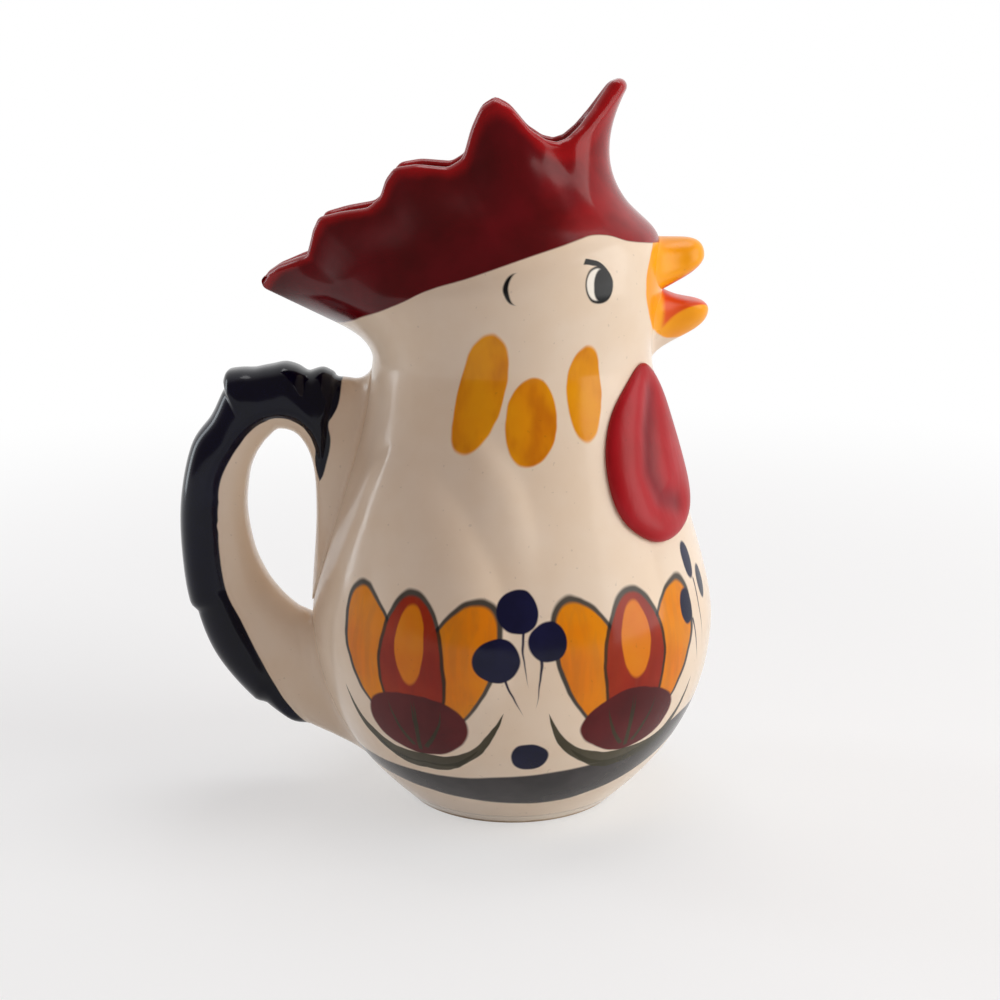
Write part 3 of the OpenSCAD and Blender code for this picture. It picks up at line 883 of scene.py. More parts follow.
@dataclass
class Wattle:
    """A plump teardrop of clay laid on the throat, with a fold down its middle.

    The outline is given as shares of its width and height, and the fold as degrees and heights.
    """

    name: str
    side: int
    outline: Line = (
        (0.465, 1.0), (0.69, 0.90), (0.885, 0.75), (0.985, 0.56), (1.0, 0.34), (0.944, 0.168),
        (0.815, 0.054), (0.66, 0.0), (0.43, 0.02), (0.18, 0.11), (0.03, 0.27), (0.0, 0.52),
        (0.10, 0.80), (0.28, 0.955))
    middle: Pair = (0.52, 0.42)
    gap: float = 4.5
    width: float = 39.0
    height: float = 46.5
    low_z: float = 83.0
    thick: float = 4.2
    edge_share: float = 0.12
    plump: float = 4.5
    fold: Line = ((29, 122), (36, 112), (39.5, 102), (37, 95), (29, 92))
    fold_w: float = 5.0
    fold_depth: float = 1.8
    steps: int = 112
    rows: int = 34
    sunk: float = 0.8
    back_shares: tuple[float, ...] = (0.0, 0.5, 0.97)

    @property
    def throat_r(self) -> float:
        """Radius of the throat behind the wattle's middle."""
        return SKIN.radius(self.low_z + self.height / 2)

    def on_skin(self, share: np.ndarray, off: Share) -> np.ndarray:
        """Finds points off the throat's skin.

        Args:
            share: Shares across and up the wattle.
            off: How far off the skin they are.

        Returns:
            The points.
        """
        z = self.low_z + self.height * share[:, 1]
        a = (self.gap + self.width * share[:, 0]) / self.throat_r
        r = SKIN.radius(z) + off
        return np.stack([r * np.cos(a), self.side * r * np.sin(a), z], -1)

    def depth(self, share: np.ndarray, out: float) -> tuple[np.ndarray, np.ndarray]:
        """Finds how thick the clay is, with its rounded edge and its fold.

        Args:
            share: Shares across and up the wattle.
            out: How near the edge they are, 1 at the edge itself.

        Returns:
            The thickness, and how deep in the fold each place is, as a share.
        """
        spot = np.stack([self.gap + self.width * share[:, 0], self.low_z + self.height * share[:, 1]], -1)
        line = np.array([(math.radians(angle) * self.throat_r, z) for angle, z in self.fold])
        gaps = [np.linalg.norm(off_line(spot, p, q), axis=-1) for p, q in zip(line, line[1:])]
        crown = math.sqrt(max(0.0, 1 - out**self.plump))
        hollow = np.exp(-((np.min(gaps, axis=0) / self.fold_w) ** 2)) * crown
        return self.thick * mix(self.edge_share, 1, crown) - self.fold_depth * hollow, hollow

    def place(self, f: np.ndarray) -> tuple[np.ndarray, np.ndarray]:
        """Lays out rings from the middle of the back, round the edge, to the middle of the front.

        Args:
            f: Angles of the points in a ring.

        Returns:
            Rows by points by 3, in millimetres, and how deep in the fold each point is.
        """
        n = len(self.outline)
        closed = [self.outline[(k - 1) % n] for k in range(n + 3)]
        edge = np.array([spline(closed, 1 + (x / FULL_TURN * n)) for x in f])
        middle = np.array(self.middle)
        rows = [self.on_skin(middle + (edge - middle) * k, -self.sunk) for k in self.back_shares]
        hollows = [np.zeros(len(f))] * len(rows)
        for k in 1 - np.linspace(0, 1, self.rows) ** 1.6:
            share = middle + (edge - middle) * k
            thick, hollow = self.depth(share, k)
            rows.append(self.on_skin(share, thick))
            hollows.append(hollow)
        return np.array(rows), np.array(hollows)

    def build(self) -> bpy.types.Object:
        """Models the wattle and marks its fold.

        Returns:
            The piece.
        """
        rings, hollows = self.place(ring_angles(self.steps))
        piece = lattice(f"glazed_{self.name}", rings, {"hollow": hollows})
        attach(piece, "root")
        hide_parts(self.name)
        report(piece)
        return piece


@dataclass(frozen=True)
class Pattern:
    """Noise at so many cells a metre, stepped smoothly from one level of it to another."""

    scale: float
    detail: float
    low: float
    high: float
    start: float
    end: float


STREAKS = Pattern(420, 2, 0.36, 0.68, 1.0, 0.88)
POOLS = Pattern(60, 3, 0.3, 0.75, 1.0, 1.22)
SPECKS = Pattern(900, 0, 0.82, 0.84, 1.0, 0.88)
THICK_STROKES = Pattern(110, 3, 0.42, 0.68, 0.0, 0.75)


class Graph:
    """Lays out one node material, socket by socket."""

    def __init__(self, name: str, owner: bpy.types.World | None = None) -> None:
        """Starts an empty graph.

        Args:
            name: Name of the material.
            owner: World to shade, or None for a new material.
        """
        self.material = owner or bpy.data.materials.new(name)
        self.material.use_nodes = True
        self.tree = self.material.node_tree
        self.tree.nodes.clear()

    def add(self, kind: str, values: dict[int | str, Value] | None = None, **props: object) -> bpy.types.Node:
        """Adds a node.

        Args:
            kind: The node's type, without its ShaderNode prefix.
            values: Inputs by index or name, each a number, a tuple or another node's socket.
            **props: Settings of the node itself.

        Returns:
            The node.
        """
        node = self.tree.nodes.new("ShaderNode" + kind)
        for key, value in props.items():
            setattr(node, key, value)
        for key, value in (values or {}).items():
            if isinstance(value, bpy.types.NodeSocket):
                self.tree.links.new(value, node.inputs[key])
            else:
                node.inputs[key].default_value = value
        return node

    def math(self, operation: str, *values: Value, clamp: bool = False) -> Socket:
        """Result of a Math node."""
        return self.add("Math", dict(enumerate(values)), operation=operation, use_clamp=clamp).outputs[0]

    def vector(self, operation: str, *values: Value) -> Socket:
        """Result of a Vector Math node, which is a number for a length and else a vector."""
        node = self.add("VectorMath", dict(enumerate(values)), operation=operation)
        return node.outputs["Value" if operation == "LENGTH" else "Vector"]

    def step(self, value: Socket, low: float, high: float, start: float = 0.0, end: float = 1.0) -> Socket:
        """Smooth step of a value between two levels."""
        return self.add("MapRange", {0: value, 1: low, 2: high, 3: start, 4: end},
                        interpolation_type="SMOOTHSTEP").outputs[0]

    def blend(self, share: Value, first: Value, second: Value) -> Socket:
        """Colour between two colours."""
        return self.add("Mix", {0: share, 6: first, 7: second}, data_type="RGBA").outputs[2]

    def noise(self, place: Socket, scale: float, detail: float = 2.0) -> Socket:
        """Noise at so many cells a metre."""
        node = self.add("TexNoise", {"Vector": place, "Scale": scale, "Detail": detail})
        return node.outputs["Fac"]

    def pattern(self, place: Socket, kind: Pattern) -> Socket:
        """Share of a pattern at a place."""
        cells = self.noise(place, kind.scale, kind.detail)
        return self.step(cells, kind.low, kind.high, kind.start, kind.end)

    def curve(self, value: Socket, points: Line) -> Socket:
        """Runs a value through a smooth function.

        Args:
            value: The value.
            points: Places that the function passes, in their own units.

        Returns:
            The function's result, held at the ends.
        """
        (x0, y0), (x1, y1) = (tuple(pick(column) for column in zip(*points)) for pick in (min, max))
        share = self.add("MapRange", {0: value, 1: x0, 2: x1}).outputs[0]
        node = self.add("FloatCurve", {1: share})
        line = node.mapping.curves[0]
        spots = [((x - x0) / (x1 - x0), (y - y0) / (y1 - y0)) for x, y in points]
        for place in spots[1:-1]:
            line.points.new(*place)
        for point, place in zip(line.points, spots):
            point.location = place
        node.mapping.update()
        return self.math("MULTIPLY_ADD", node.outputs[0], y1 - y0, y0)

    def wander(self, place: Socket, scale: float, reach: float, detail: float = 1.0) -> Socket:
        """Noise that strays by so much to either side of nothing."""
        return self.math("MULTIPLY_ADD", self.noise(place, scale, detail), 2 * reach, -reach)

    def less(self, first: Value, second: Value) -> Socket:
        """The first value less the second."""
        return self.math("SUBTRACT", first, second)

    def times(self, *values: Value) -> Socket:
        """The product of several values."""
        return reduce(partial(self.math, "MULTIPLY"), values)

    def lower(self, *values: Socket) -> Socket:
        """The least of several values."""
        return reduce(partial(self.math, "MINIMUM"), values)

    def upper(self, *values: Value) -> Socket:
        """The greatest of several values."""
        return reduce(partial(self.math, "MAXIMUM"), values)

    def past(self, value: Value, line: Value, soft: float) -> Socket:
        """Mask of the side on which a value is past a line, with a soft edge."""
        return self.step(self.less(value, line), -soft, soft)


def linear(level: int) -> float:
    """Linear value of an 8-bit screen level."""
    share = level / 255
    return share / 12.92 if share <= 0.04045 else ((share + 0.055) / 1.055) ** 2.4


def shade(red: int, green: int, blue: int) -> Colour:
    """Linear colour of an 8-bit screen colour."""
    return (linear(red), linear(green), linear(blue), 1.0)


class Enamel(Enum):
    """The glazes on this pitcher."""

    CREAM = shade(236, 219, 198)
    COMB = shade(100, 4, 14)
    # Lighter comb red: thin glaze on the rim, and painted light on the rim and on the front.
    COMB_THIN_AND_LIT = shade(170, 16, 22)
    WATTLE = shade(172, 14, 28)
    YELLOW = shade(232, 156, 4)
    AMBER = shade(196, 108, 2)
    BEAK = shade(250, 170, 2)
    ORANGE = shade(228, 88, 18)
    PETAL = shade(230, 140, 8)
    RUST = shade(160, 46, 10)
    MAROON = shade(92, 18, 20)
    NAVY = shade(18, 20, 58)
    SLATE = shade(28, 30, 40)
    INK = shade(16, 20, 22)
    LEAF = shade(58, 54, 30)
    FEATHER = shade(8, 10, 36)
    WHITE = shade(246, 242, 232)
    # Deep red laid in the wattle's fold as painted shade.
    FOLD_SHADE_RED = shade(112, 8, 24)


@dataclass(frozen=True)
class Dab:
    """An oval brush mark: its middle, half of its width and height, and its turn in degrees."""

    centre: Pair
    half: Pair
    tilt: float = 0.0


@dataclass(frozen=True)
class Trail:
    """A tapering brush line: where it starts and ends, half of its width, and how far it bows."""

    start: Pair
    end: Pair
    half_w: float
    bow: float = 0.0


@dataclass(frozen=True)
class Coat:
    """A mark in one glaze: how much it covers, None for a streaky brush, and how proud it stands."""

    mark: Dab | Trail
    glaze: Enamel
    body: float | None = 1.0
    rise: float = 0.0


@dataclass(frozen=True)
class Firing:
    """How a glaze comes out of the kiln: its gloss, clear coat, least roughness and brush marks."""

    gloss: float
    coat: float
    rough: float
    brush: float = 0.0
    rough_spread: float = 0.12
    coat_rough: float = 0.06
    index: float = 1.5
    ripple: float = 0.04
    raised: float = 0.35
    bump: float = 0.25
    bump_depth: float = 0.0012


class PaintedClay:
    """Painted glaze over clay: layers of brushed colour laid on a ground, all in Object space."""

    def __init__(self, name: str, ground: Enamel) -> None:
        """Starts a finish with its ground glaze.

        Args:
            name: Name of the material.
            ground: Glaze under every layer.
        """
        self.graph = g = Graph(name)
        self.place = g.add("TexCoord").outputs["Object"]
        parts = g.add("SeparateXYZ", {0: self.place}).outputs
        self.x, self.y, self.z = (g.times(s, 1 / MM) for s in parts)
        self.turn = g.math("ARCTAN2", g.math("ABSOLUTE", self.y), self.x)
        self.angle = g.times(self.turn, DEGREES)
        self.sway = g.wander(self.place, 75, BRUSH_WANDER, 2)
        self.lift = g.wander(self.place, 88, BRUSH_WANDER, 2)
        self.streak = g.pattern(self.drawn_out(0.12), STREAKS)
        self.raised: Socket | None = None
        self.colour: Socket | Colour = ground.value

    def drawn_out(self, up: float) -> Socket:
        """Places with their height shrunk, so that a pattern on them runs up and down."""
        return self.graph.vector("MULTIPLY", self.place, (1, 1, up))

    def flat(self, radius: float, centre: float = 0.0) -> Spot:
        """The side of the body laid flat.

        Args:
            radius: Radius at which lengths are measured.
            centre: Angle in degrees that lengths are counted from.

        Returns:
            Length round the body and height, with a brush's wander.
        """
        g = self.graph
        length = g.math("MULTIPLY_ADD", self.turn, radius, -radius * math.radians(centre))
        return g.math("ADD", length, self.sway), g.math("ADD", self.z, self.lift)

    def weighed(self, spot: Spot, across: float, up: float, start: float) -> Socket:
        """Sum of a place's two parts, each times a number, and a start."""
        return self.graph.math("MULTIPLY_ADD", spot[1], up,
                               self.graph.math("MULTIPLY_ADD", spot[0], across, start))

    def blob(self, spot: Spot, dab: Dab, soft: float = 0.3) -> Socket:
        """Mask of an oval brush mark.

        Args:
            spot: Place on the laid-flat side.
            dab: The mark.
            soft: Width of its soft edge in millimetres.

        Returns:
            1 inside the mark and 0 outside.
        """
        c, s = math.cos(math.radians(dab.tilt)), math.sin(math.radians(dab.tilt))
        (x, z), (a, b) = dab.centre, dab.half
        across = self.weighed(spot, c / a, s / a, -(x * c + z * s) / a)
        up = self.weighed(spot, -s / b, c / b, (x * s - z * c) / b)
        far = self.graph.math("MULTIPLY_ADD", up, up, self.graph.times(across, across))
        edge = soft / min(dab.half)
        return self.graph.step(far, (1 - edge) ** 2, (1 + edge) ** 2, 1.0, 0.0)

    def stroke(self, spot: Spot, trail: Trail, soft: float = 0.45) -> Socket:
        """Mask of a tapering brush line, which lifts off to a point.

        Args:
            spot: Place on the laid-flat side.
            trail: The line.
            soft: Width of its soft edge in millimetres.

        Returns:
            1 on the line and 0 off it.
        """
        g = self.graph
        (x, z), (dx, dz) = trail.start, (end - start for start, end in zip(trail.start, trail.end))
        run = math.hypot(dx, dz)
        t = self.weighed(spot, dx / run**2, dz / run**2, -(x * dx + z * dz) / run**2)
        off = self.weighed(spot, -dz / run, dx / run, (x * dz - z * dx) / run)
        left = g.math("SUBTRACT", 1, t, clamp=True)
        arch = g.times(t, left, 4 * trail.bow)
        width = g.times(g.math("SQRT", left), trail.half_w)
        out = g.less(g.math("ABSOLUTE", g.less(off, arch)), width)
        return g.times(g.step(out, -soft, 0.0, 1.0, 0.0), g.step(t, -0.03, 0.02))

    def lay(self, mask: Socket, glaze: Enamel, body: Value = 1.0, rise: float = 0.0) -> None:
        """Brushes a glaze on over what is there.

        Args:
            mask: Where it goes.
            glaze: The glaze.
            body: How much it covers.
            rise: How proud it stands, as a share of a thick coat.
        """
        g = self.graph
        cover = mask if body == 1.0 else g.times(mask, body)
        self.colour = g.blend(cover, self.colour, glaze.value)
        if rise:
            step = g.times(mask, rise)
            self.raised = step if self.raised is None else g.upper(self.raised, step)

    def paint(self, spot: Spot, coats: Sequence[Coat]) -> None:
        """Brushes marks on in their order.

        Args:
            spot: Place on the laid-flat side.
            coats: The marks and their glazes.
        """
        for coat in coats:
            draw = self.blob if isinstance(coat.mark, Dab) else self.stroke
            body = self.streak if coat.body is None else coat.body
            self.lay(draw(spot, coat.mark), coat.glaze, body, coat.rise)

    def finish(self, firing: Firing) -> bpy.types.Material:
        """Fires the layers: pools the colour, ripples the glaze and gives it its gloss.

        Args:
            firing: How the glaze comes out.

        Returns:
            The finished material.
        """
        g = self.graph
        deep = g.add("Gamma", {0: self.colour, 1: g.pattern(self.place, POOLS)}).outputs[0]
        speck = g.pattern(self.place, SPECKS)
        colour = g.add("VectorMath", {0: deep, "Scale": speck}, operation="SCALE").outputs[0]
        roughness = g.math("MULTIPLY_ADD", g.noise(self.place, 160), firing.rough_spread, firing.rough)
        height = g.math("MULTIPLY_ADD", g.noise(self.place, 420), firing.ripple, g.noise(self.place, 50, 1))
        if self.raised is not None:
            height = g.math("MULTIPLY_ADD", self.raised, firing.raised, height)
        if firing.brush:
            height = g.math("MULTIPLY_ADD", self.streak, firing.brush, height)
        bump = g.add("Bump", {"Height": height, "Strength": firing.bump, "Distance": firing.bump_depth})
        shader = g.add("BsdfPrincipled", {
            "Base Color": colour, "Roughness": roughness, "IOR": firing.index,
            "Specular IOR Level": firing.gloss, "Coat Weight": firing.coat,
            "Coat Roughness": firing.coat_rough, "Normal": bump.outputs[0]})
        g.add("OutputMaterial", {0: shader.outputs[0]})
        return g.material


@dataclass
class BodyPaint:
    """The painting on the glazed body: comb, face, cape, flowers, berries and the band at the base.

    Lines are given as angles in degrees and heights. Marks lie on the side laid flat: berries,
    stems and strokes by angle and height, and the rest by length and height in millimetres.
    """

    comb_edge: Line = (
        (0, 161.4), (10, 161.4), (16, 161.8), (27, 162.2), (39, 163), (52, 165), (62, 164),
        (91, 158.6), (106, 155.4), (121, 151.6), (133, 147.5), (146, 144), (174, 138.8), (180, 138.4))
    # Painted light: the comb's front, over this run of x, is lightened by this share.
    comb_lit_front: Pair = (-8.0, 26.0)
    lit_front_share: float = 0.85
    thin_patches: float = 0.7
    thin_and_lit_from: Pair = (0.62, 1.5)
    thin_and_lit_cover: float = 0.85
    band_top: Line = (
        (0, 32.5), (25, 32), (40, 28.8), (55, 24.5), (75, 23), (91, 21.6), (111, 20), (131, 20),
        (154, 19.5), (180, 19.5))
    band_low: Line = (
        (0, 23.5), (20, 22), (35, 18.3), (47.5, 14.6), (60, 12.2), (75, 10.4), (87, 10.4),
        (110, 11.5), (127, 13), (145, 14), (180, 14.5))
    edge_soft: float = 0.3
    band_soft: float = 0.4
    belly_r: float = 56.0
    neck_r: float = 41.0
    flowers: Pair = (55.0, 118.0)
    tulip: tuple[Coat, ...] = (
        Coat(Dab((12.5, 54.5), (9.7, 20.6), -24), Enamel.INK, 0.9),
        Coat(Dab((12.1, 53.9), (8.7, 19.4), -24), Enamel.PETAL, None),
        Coat(Dab((0, 53.5), (10.3, 21)), Enamel.INK, 0.9),
        Coat(Dab((0, 52.9), (9.3, 19.8)), Enamel.RUST, None),
        Coat(Dab((0, 60), (4.4, 10.5)), Enamel.PETAL, 0.9),
        Coat(Dab((0, 37), (15.5, 9.5)), Enamel.MAROON),
        Coat(Trail((-3, 26.5), (25, 43), 2.6, -7.5), Enamel.LEAF, 0.95),
        Coat(Trail((-3, 24), (18, 31), 1.7, -3.5), Enamel.LEAF, 0.95),
        Coat(Trail((2, 30), (8, 43), 0.9, -1.2), Enamel.LEAF, 0.9),
        Coat(Trail((0, 29), (0.5, 45), 0.9), Enamel.LEAF, 0.9))
    berries: tuple[Dab, ...] = (
        Dab((89, 70.2), (5.5, 5.5)), Dab((94.2, 57.8), (6, 6)), Dab((81, 62.5), (5, 5.4)),
        Dab((85, 28.8), (5.5, 4.5)), Dab((0, 37.5), (4.6, 4.6)), Dab((26.2, 75.5), (2.9, 5.2)),
        Dab((19.7, 68), (2.6, 4.6)), Dab((32.6, 64.4), (3.0, 5.0)))
    stems: tuple[Trail, ...] = (
        Trail((87.4, 65.5), (86, 50), 0.6, 0.4), Trail((92, 52.5), (87, 42), 0.6, 0.5),
        Trail((83, 58), (84.2, 44), 0.6, -0.4), Trail((25, 70), (23, 50), 0.6, 0.4),
        Trail((30, 60), (26, 46), 0.6, 0.4))
    cape: tuple[Dab, ...] = (
        Dab((102.3, 125), (6.5, 16.4), 15), Dab((83.5, 117.5), (6.8, 11.5), 8),
        Dab((61.5, 124.5), (5.6, 12.5), 4))
    mouth: Dab = Dab((0, 150.6), (22.8, 15.4))
    eye_angle: float = 58.2
    eye: tuple[Coat, ...] = (
        Coat(Dab((-0.2, 152.8), (4.5, 4.8), 8), Enamel.INK, rise=0.5),
        Coat(Dab((0.3, 152.9), (3.6, 4.0), 8), Enamel.WHITE),
        Coat(Dab((-1.4, 152.5), (3.05, 4.4), 6), Enamel.INK),
        Coat(Trail((3.7, 158.8), (-4.3, 154.1), 1.25, -1.5), Enamel.INK))
    brow: Dab = Dab((63.7, 152.8), (3.4, 3.9))
    brow_hollow: Dab = Dab((61.6, 152.8), (4.2, 4.9))
    firing: Firing = Firing(gloss=0.2, coat=0.05, rough=0.12)

    def dress(self) -> bpy.types.Material:
        """Paints the body from its ground up.

        Returns:
            The finished material.
        """
        clay = PaintedClay("painted_body_glaze", Enamel.CREAM)
        inside = clay.graph.add("Attribute", attribute_name="inside").outputs["Fac"]
        self.paint_band(clay, clay.graph.less(1, inside))
        self.paint_flowers(clay)
        self.paint_berries(clay)
        self.paint_cape(clay)
        self.paint_face(clay)
        self.paint_comb(clay)
        clay.colour = clay.graph.blend(inside, clay.colour, Enamel.CREAM.value)
        return clay.finish(self.firing)

    def paint_band(self, clay: PaintedClay, outside: Socket) -> None:
        """Lays a broad slate band round the base.

        Args:
            clay: The finish.
            outside: 1 on the outer skin and 0 inside the pitcher.
        """
        g = clay.graph
        height = g.math("ADD", clay.z, g.wander(clay.place, 60, 0.6))
        below = g.past(g.curve(clay.angle, self.band_top), height, self.band_soft)
        above = g.past(height, g.curve(clay.angle, self.band_low), self.band_soft)
        clay.lay(g.times(g.lower(below, above), outside), Enamel.SLATE, 0.95)

    def paint_flowers(self, clay: PaintedClay) -> None:
        """Paints folk tulips: two outer petals, a middle one, a cup and curling leaves.

        Args:
            clay: The finish.
        """
        g = clay.graph
        first, second = self.flowers
        length, height = clay.flat(self.belly_r, first)
        past = g.math("GREATER_THAN", clay.angle, (first + second) / 2)
        length = g.math("MULTIPLY_ADD", past, -self.belly_r * math.radians(second - first), length)
        clay.paint((g.math("ABSOLUTE", length), height), self.tulip)

    def paint_berries(self, clay: PaintedClay) -> None:
        """Paints navy berries on thin stems between the flowers.

        Args:
            clay: The finish.
        """
        spot = clay.flat(self.belly_r)
        k = math.radians(self.belly_r)
        for berry in self.berries:
            angle, z = berry.centre
            clay.lay(clay.blob(spot, Dab((angle * k, z), berry.half)), Enamel.NAVY)
        for stem in self.stems:
            start, end = ((angle * k, z) for angle, z in (stem.start, stem.end))
            clay.lay(clay.stroke(spot, Trail(start, end, stem.half_w, stem.bow)), Enamel.NAVY, 0.95)

    def paint_cape(self, clay: PaintedClay) -> None:
        """Paints three broad yellow strokes down the side of the neck, amber where they are thick.

        Args:
            clay: The finish.
        """
        g = clay.graph
        spot = clay.flat(self.neck_r)
        k = math.radians(self.neck_r)
        thick = g.pattern(clay.drawn_out(0.35), THICK_STROKES)
        for stroke in self.cape:
            angle, z = stroke.centre
            mark = clay.blob(spot, Dab((angle * k, z), stroke.half, stroke.tilt))
            clay.lay(mark, Enamel.YELLOW, rise=0.6)
            clay.lay(g.times(mark, thick), Enamel.AMBER)

    def paint_face(self, clay: PaintedClay) -> None:
        """Paints yellow round the beak, and an eye with its lid and brow line on each cheek.

        Args:
            clay: The finish.
        """
        g = clay.graph
        spot = clay.flat(self.neck_r)
        clay.lay(clay.blob(spot, self.mouth), Enamel.BEAK, rise=0.6)
        clay.paint(clay.flat(self.neck_r, self.eye_angle), self.eye)
        crescent = g.lower(clay.blob(spot, self.brow), g.less(1, clay.blob(spot, self.brow_hollow)))
        clay.lay(crescent, Enamel.INK)

    def paint_comb(self, clay: PaintedClay) -> None:
        """Paints the comb dark red, with painted light brightening its front and, with thin glaze, its rim.

        Args:
            clay: The finish.
        """
        g = clay.graph
        line = g.math("ADD", g.curve(clay.angle, self.comb_edge), g.wander(clay.place, 45, 0.8))
        comb = g.past(clay.z, line, self.edge_soft)
        clay.lay(comb, Enamel.COMB, rise=1.0)
        # Painted light brightens the comb's front; on the rim the brighter red is thin glaze and painted
        # highlight.
        front = g.times(g.step(clay.x, *self.comb_lit_front), comb)
        rim = g.add("Attribute", attribute_name="rim").outputs["Fac"]
        rim = g.math("MULTIPLY_ADD", front, self.lit_front_share, rim)
        thin = g.math("MULTIPLY_ADD", g.noise(clay.place, 110, 3), self.thin_patches, rim)
        clay.lay(g.step(thin, *self.thin_and_lit_from), Enamel.COMB_THIN_AND_LIT, self.thin_and_lit_cover)


@dataclass
class HandlePaint:
    """Navy over the feathers and cream on the grip's inner side, meeting in a brushed edge."""

    loop: HandleLoop
    edge_soft: float = 0.25
    firing: Firing = Firing(gloss=0.16, coat=0.12, rough=0.1)

    def dress(self) -> bpy.types.Material:
        """Paints the handle along the edge of its feathers.

        Returns:
            The finished material.
        """
        clay = PaintedClay("painted_handle_glaze", Enamel.CREAM)
        g = clay.graph
        dx, dz = (g.less(part, middle) for part, middle in zip((clay.x, clay.z), self.loop.paint_centre))
        turn = g.times(g.math("ARCTAN2", dz, dx), DEGREES)
        far = g.math("SQRT", g.math("ADD", g.times(dx, dx), g.times(dz, dz)))
        upper = g.less(far, g.curve(turn, self.loop.paint_edge))
        lower = g.less(g.curve(clay.z, self.loop.low_edge), clay.x)
        share = g.step(clay.z, *self.loop.edges_meet)
        out = g.math("MULTIPLY_ADD", g.less(upper, lower), share, lower)
        neck = g.less(g.curve(clay.z, self.loop.neck_edge), clay.x)
        edge = g.math("ADD", g.lower(out, neck), g.wander(clay.place, 70, 0.5))
        clay.lay(g.step(edge, -self.edge_soft, self.edge_soft), Enamel.FEATHER)
        return clay.finish(self.firing)


@dataclass
class BeakPaint:
    """Yellow outside and orange-red inside the mouth, with cream under the chin.

    The mouth's edges are given as a slope and a start along the beak.
    """

    half: Half
    lower_edge: Pair = (0.065, -2.815)
    upper_edge: Pair = (-0.0073, 1.107)
    mouth_from: Pair = (40.5, 42.5)
    mouth_soft: Pair = (-0.04, 0.1)
    roof: Pair = (155.2, 156.4)
    face: Dab = Dab((46.0, 147.5), (10.5, 13.2))
    firing: Firing = Firing(gloss=0.25, coat=0.0, rough=0.24)

    def dress(self) -> bpy.types.Material:
        """Paints one half of the beak.

        Returns:
            The finished material.
        """
        clay = PaintedClay(f"painted_{self.half.value}_glaze", Enamel.BEAK)
        g = clay.graph
        open_part = g.step(clay.x, *self.mouth_from)
        if self.half is Half.LOWER:
            edge = g.math("MULTIPLY_ADD", clay.x, *self.lower_edge)
            spot = (g.math("MINIMUM", clay.x, self.face.centre[0]), g.math("ADD", clay.z, clay.lift))
            clay.lay(g.less(1, clay.blob(spot, self.face)), Enamel.CREAM)
        else:
            edge = g.math("MULTIPLY_ADD", clay.x, *self.upper_edge)
            open_part = g.lower(open_part, g.step(clay.z, *self.roof, 1.0, 0.0))
        mouth = g.add("Attribute", attribute_name="mouth").outputs["Fac"]
        clay.lay(g.times(open_part, g.step(g.less(mouth, edge), *self.mouth_soft)), Enamel.ORANGE)
        return clay.finish(self.firing)


@dataclass
class WattlePaint:
    """Red over the whole wattle, with painted shade darkening its fold."""

    name: str
    fold: Pair = (0.3, 1.3)
    firing: Firing = Firing(gloss=0.25, coat=0.0, rough=0.3, brush=0.6)

    def dress(self) -> bpy.types.Material:
        """Paints one wattle.

        Returns:
            The finished material.
        """
        clay = PaintedClay(f"painted_{self.name}_glaze", Enamel.WATTLE)
        hollow = clay.graph.add("Attribute", attribute_name="hollow").outputs["Fac"]
        # Painted shade: the fold is darkened toward a deep wine red.
        clay.lay(clay.graph.step(hollow, *self.fold), Enamel.FOLD_SHADE_RED, clay.streak)
        return clay.finish(self.firing)


@dataclass
class FootClay:
    """Glaze run down over the foot, wiped back to bare, gritty clay where it rests, in metres."""

    wiped_h: float = 0.0002
    wiped_soft: float = 0.0002
    wiped_wander: float = 0.0012
    inner_r: Pair = (0.030, 0.0305)
    glaze: Colour = shade(234, 220, 200)
    clay: tuple[Colour, Colour] = (shade(206, 186, 160), shade(176, 150, 122))
    rough: Pair = (0.12, 0.85)

    def dress(self) -> bpy.types.Material:
        """Shades the foot.

        Returns:
            The finished material.
        """
        g = Graph("wiped_foot_clay")
        place = g.add("TexCoord").outputs["Object"]
        height = g.add("SeparateXYZ", {0: place}).outputs[2]
        edge = g.math("MULTIPLY_ADD", g.noise(place, 150), self.wiped_wander, self.wiped_h)
        reach = g.vector("LENGTH", g.vector("MULTIPLY", place, (1, 1, 0)))
        bare = g.upper(g.past(edge, height, self.wiped_soft), g.step(reach, *self.inner_r, 1.0, 0.0))
        grit = g.noise(place, 1400, 4)
        colour = g.blend(bare, self.glaze, g.blend(grit, *self.clay))
        bump = g.add("Bump", {"Height": g.times(grit, bare), "Strength": 0.5, "Distance": 0.0003})
        shader = g.add("BsdfPrincipled", {
            "Base Color": colour, "Roughness": g.step(bare, 0, 1, *self.rough), "Normal": bump.outputs[0]})
        g.add("OutputMaterial", {0: shader.outputs[0]})
        return g.material


@dataclass(frozen=True)
class Lamp:
    """A soft rectangular lamp: its place and size in metres, its power in watts and its colour."""

    name: str
    place: tuple[float, float, float]
    size: Pair
    power: float
    colour: tuple[float, float, float] = (1.0, 1.0, 1.0)


